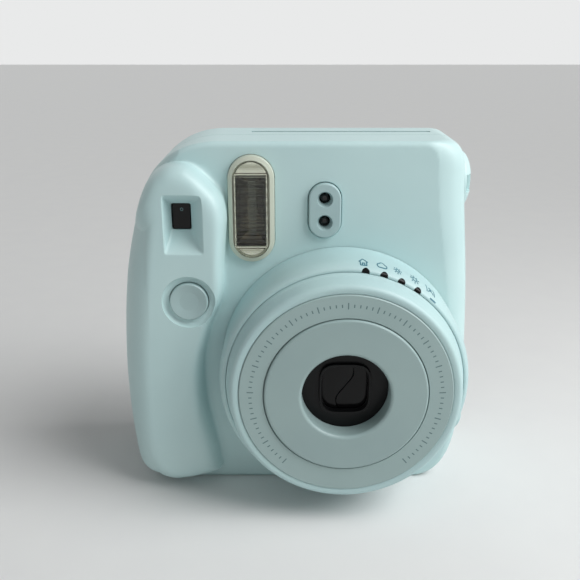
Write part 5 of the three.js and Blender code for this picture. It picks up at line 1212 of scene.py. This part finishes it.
# ---------------------------------------------------------------- viewfinder
# A small dark window at the bottom of its pocket, a tube through the body, and a black
# eyepiece with a clear lens at the back.
WINDOW_FACE = -8.9
FINDER_GLASS = acrylic("dark_finder_acrylic", "#08090a", 0.1, 0.03, settings={"Specular IOR Level": 0.3})
window = moulded(finder_outline(2.9, 4.05, 0.5), [(0, -7.7, 0), (0, WINDOW_FACE, 0.35)])
fitted(eased(window), "finder_front_window", FINDER_GLASS, "camera_body", "smoked_plastic", "finder_window")


def on_finder_window(u, v, lift):
    return FINDER_X + 0.2 + u, WINDOW_FACE - lift, FINDER_Z + 2.2 + v


SPOT = [(0.42 * math.cos(t), 0.42 * math.sin(t)) for t in np.linspace(0, 2 * math.pi, 25)]
printed("finder_aiming_spot", GREY_INK, "camera_body", "white_plastic",
        ([SPOT], on_finder_window, 0.22))
eyepiece = moulded(finder_outline(*EYEPIECE_HALF, 2.0), [(0, 29.4, 0), (0, 33.9, 0.5)])
carved(eyepiece, prism(finder_outline(3.9, 2.9, 1.2), 31.1, 36), prism(finder_outline(3.3, 2.3, 1.0), 28, 33))
fitted(eased(eyepiece), "finder_eyepiece", BLACK_ABS, "camera_body", "black_plastic", "eyepiece_frame")
glass = moulded(finder_outline(3.6, 2.6, 1.0), [(0, 31.4, 0.1), (0, 32.7, 0.3)])
fitted(eased(glass), "finder_eyepiece_lens", CLEAR, "camera_body", "clear_plastic", "eyepiece_lens")

# ---------------------------------------------------------------- strap lug
# A domed ABS boss on the right shoulder with an eye cut through it behind a short bar, for a
# wrist strap. The covers clamp it between them.
EYE_HALF, BAR_HALF, EYE_FLOOR = 2.9, 2.2, 54.8
dome = [(LUG_R * math.cos(t), 53.4 + 4.2 * math.sin(t) ** 0.9, 0) for t in np.radians(np.linspace(2, 84, 14))]
lug = turned([(0, 52.2, 0), (LUG_R, 52.2, 0), *dome, (0, 57.6, 0)], (LUG_Y, LUG_Z), "X", 128, 3)
low, high = LUG_Z - EYE_HALF, LUG_Z + EYE_HALF
carved(
    lug,
    block((EYE_FLOOR, LUG_Y - LUG_R, low), (56.5, LUG_Y + LUG_R, high)),
    block((EYE_FLOOR, LUG_Y + BAR_HALF, low), (59, LUG_Y + LUG_R + 1, high)),
    block((EYE_FLOOR, LUG_Y - LUG_R - 1, low), (59, LUG_Y - BAR_HALF, high)),
)
fitted(eased(lug), "strap_lug_boss", SHELL_ABS, "camera_body", "shell_plastic", "strap_lug")

# ---------------------------------------------------------------- inner mechanism
# Black ABS chassis with the film room, rollers and shutter; nylon gears; steel springs; two
# cells in jackets; a laminate board. They show only with a door open or through the eye.
NYLON = moulded_plastic("moulded_white_nylon", "#e6e2d8", "#dedacf", roughness=0.5, grain=0.4, depth=0.01)
JACKET = moulded_plastic("printed_cell_jacket", "#3d4a50", "#343f45", roughness=0.3, grain=1.5, depth=0.003)
LAMINATE = moulded_plastic("glass_epoxy_laminate", "#2f5a3c", "#284f35",
                           roughness=0.35, grain=0.8, depth=0.01)
dressed(CHASSIS_ABS, "film_chamber", "battery_tray", "light_funnel", "finder_tube", "flash_capacitor",
        "shutter_switch")
dressed(NYLON, "roller_gear_front", "roller_gear_back", "idler_gear", "motor_pinion", "counter_wheel")
dressed(STEEL, "film_roller_front", "film_roller_back", "drive_motor", "pack_spring_left",
        "pack_spring_right", "shutter_spring", "battery_contact_top", "battery_contact_bottom")
dressed(JACKET, "battery_front", "battery_back")
dressed(LAMINATE, "circuit_board")
dressed(GLASS, "flash_tube")


# ---------------------------------------------------------------- floor, light and camera
# A pale board under the camera, a pale surround, one large soft lamp high at the front right, a
# weak fill from the front and a small soft panel close by on the right.
def board_material():
    made, tree, place = new_material("pale_painted_board")
    fine = add(tree, "TexNoise", {"Scale": 60.0, "Detail": 3.0}, {"Vector": place}).outputs["Fac"]
    tone = add(tree, "Mix", {"data_type": "RGBA", 6: linear("#e3e4e3"), 7: linear("#dfe0e0")}, {0: fine})
    shader = add(tree, "BsdfPrincipled", {"Roughness": 0.8}, {"Base Color": tone.outputs[2]})
    add(tree, "OutputMaterial", links={"Surface": shader.outputs[0]})
    return made


REACH, BELOW = 3000, -0.05
corners = [(-REACH, -REACH, BELOW), (REACH, -REACH, BELOW), (REACH, REACH, BELOW), (-REACH, REACH, BELOW)]
floor = mesh_object(corners, [[0, 1, 2, 3]])
floor.name = floor.data.name = "floor"
floor.data.materials.append(board_material())

world = bpy.data.worlds.new("pale surround")
bpy.context.scene.world = world
world.use_nodes = True
sky = world.node_tree
sky.nodes.clear()
ray = add(sky, "LightPath").outputs
seen = add(sky, "Math", {"operation": "MAXIMUM"}, {0: ray["Is Camera Ray"], 1: ray["Is Glossy Ray"]})
seen = add(sky, "Math", {"operation": "MAXIMUM"}, {0: seen.outputs[0], 1: ray["Is Transmission Ray"]})
plain = add(sky, "Background", {"Color": (1.0, 1.0, 1.0, 1.0), "Strength": 0.24})
shown = add(sky, "Background", {"Color": linear("#e9eaea"), "Strength": 1.0})
mixed = add(sky, "MixShader", links={0: seen.outputs[0], 1: plain.outputs[0], 2: shown.outputs[0]})
add(sky, "OutputWorld", links={"Surface": mixed.outputs[0]})


def soft_light(name, kind, towards, energy, place=(0, 0, 0), **softness):
    """A lamp that shines in one direction, with a shadow as soft as its angle or its size."""
    data = bpy.data.lights.new(name, kind)
    data.energy = energy
    for key, value in softness.items():
        setattr(data, key, value)
    made = bpy.data.objects.new(name, data)
    bpy.context.collection.objects.link(made)
    made.location = place
    made.rotation_euler = Vector(towards).to_track_quat("-Z", "Y").to_euler()


CAMERA_MIDDLE, PANEL_PLACE = Vector((0, 0, 0.06)), Vector((0.28, -0.12, 0.26))
soft_light("key", "SUN", (-0.7, 0.25, -0.85), 1.6, angle=math.radians(40))
soft_light("fill", "SUN", (0.1, 0.9, -0.5), 0.15, angle=math.radians(100))
soft_light("side_panel", "AREA", CAMERA_MIDDLE - PANEL_PLACE, 0.65, PANEL_PLACE, size=0.25)

camera_data = bpy.data.cameras.new("camera")
camera_data.lens, camera_data.sensor_width, camera_data.clip_start = 47.17, 36.0, 0.01
camera = bpy.data.objects.new("camera", camera_data)
bpy.context.collection.objects.link(camera)
camera.location = (-0.00172, -0.2403, 0.1518)
camera.rotation_euler = Euler((math.radians(90 - 19.2), 0, 0))
bpy.context.scene.camera = camera
bpy.context.scene.view_settings.view_transform = "Standard"

bpy.context.view_layer.update()
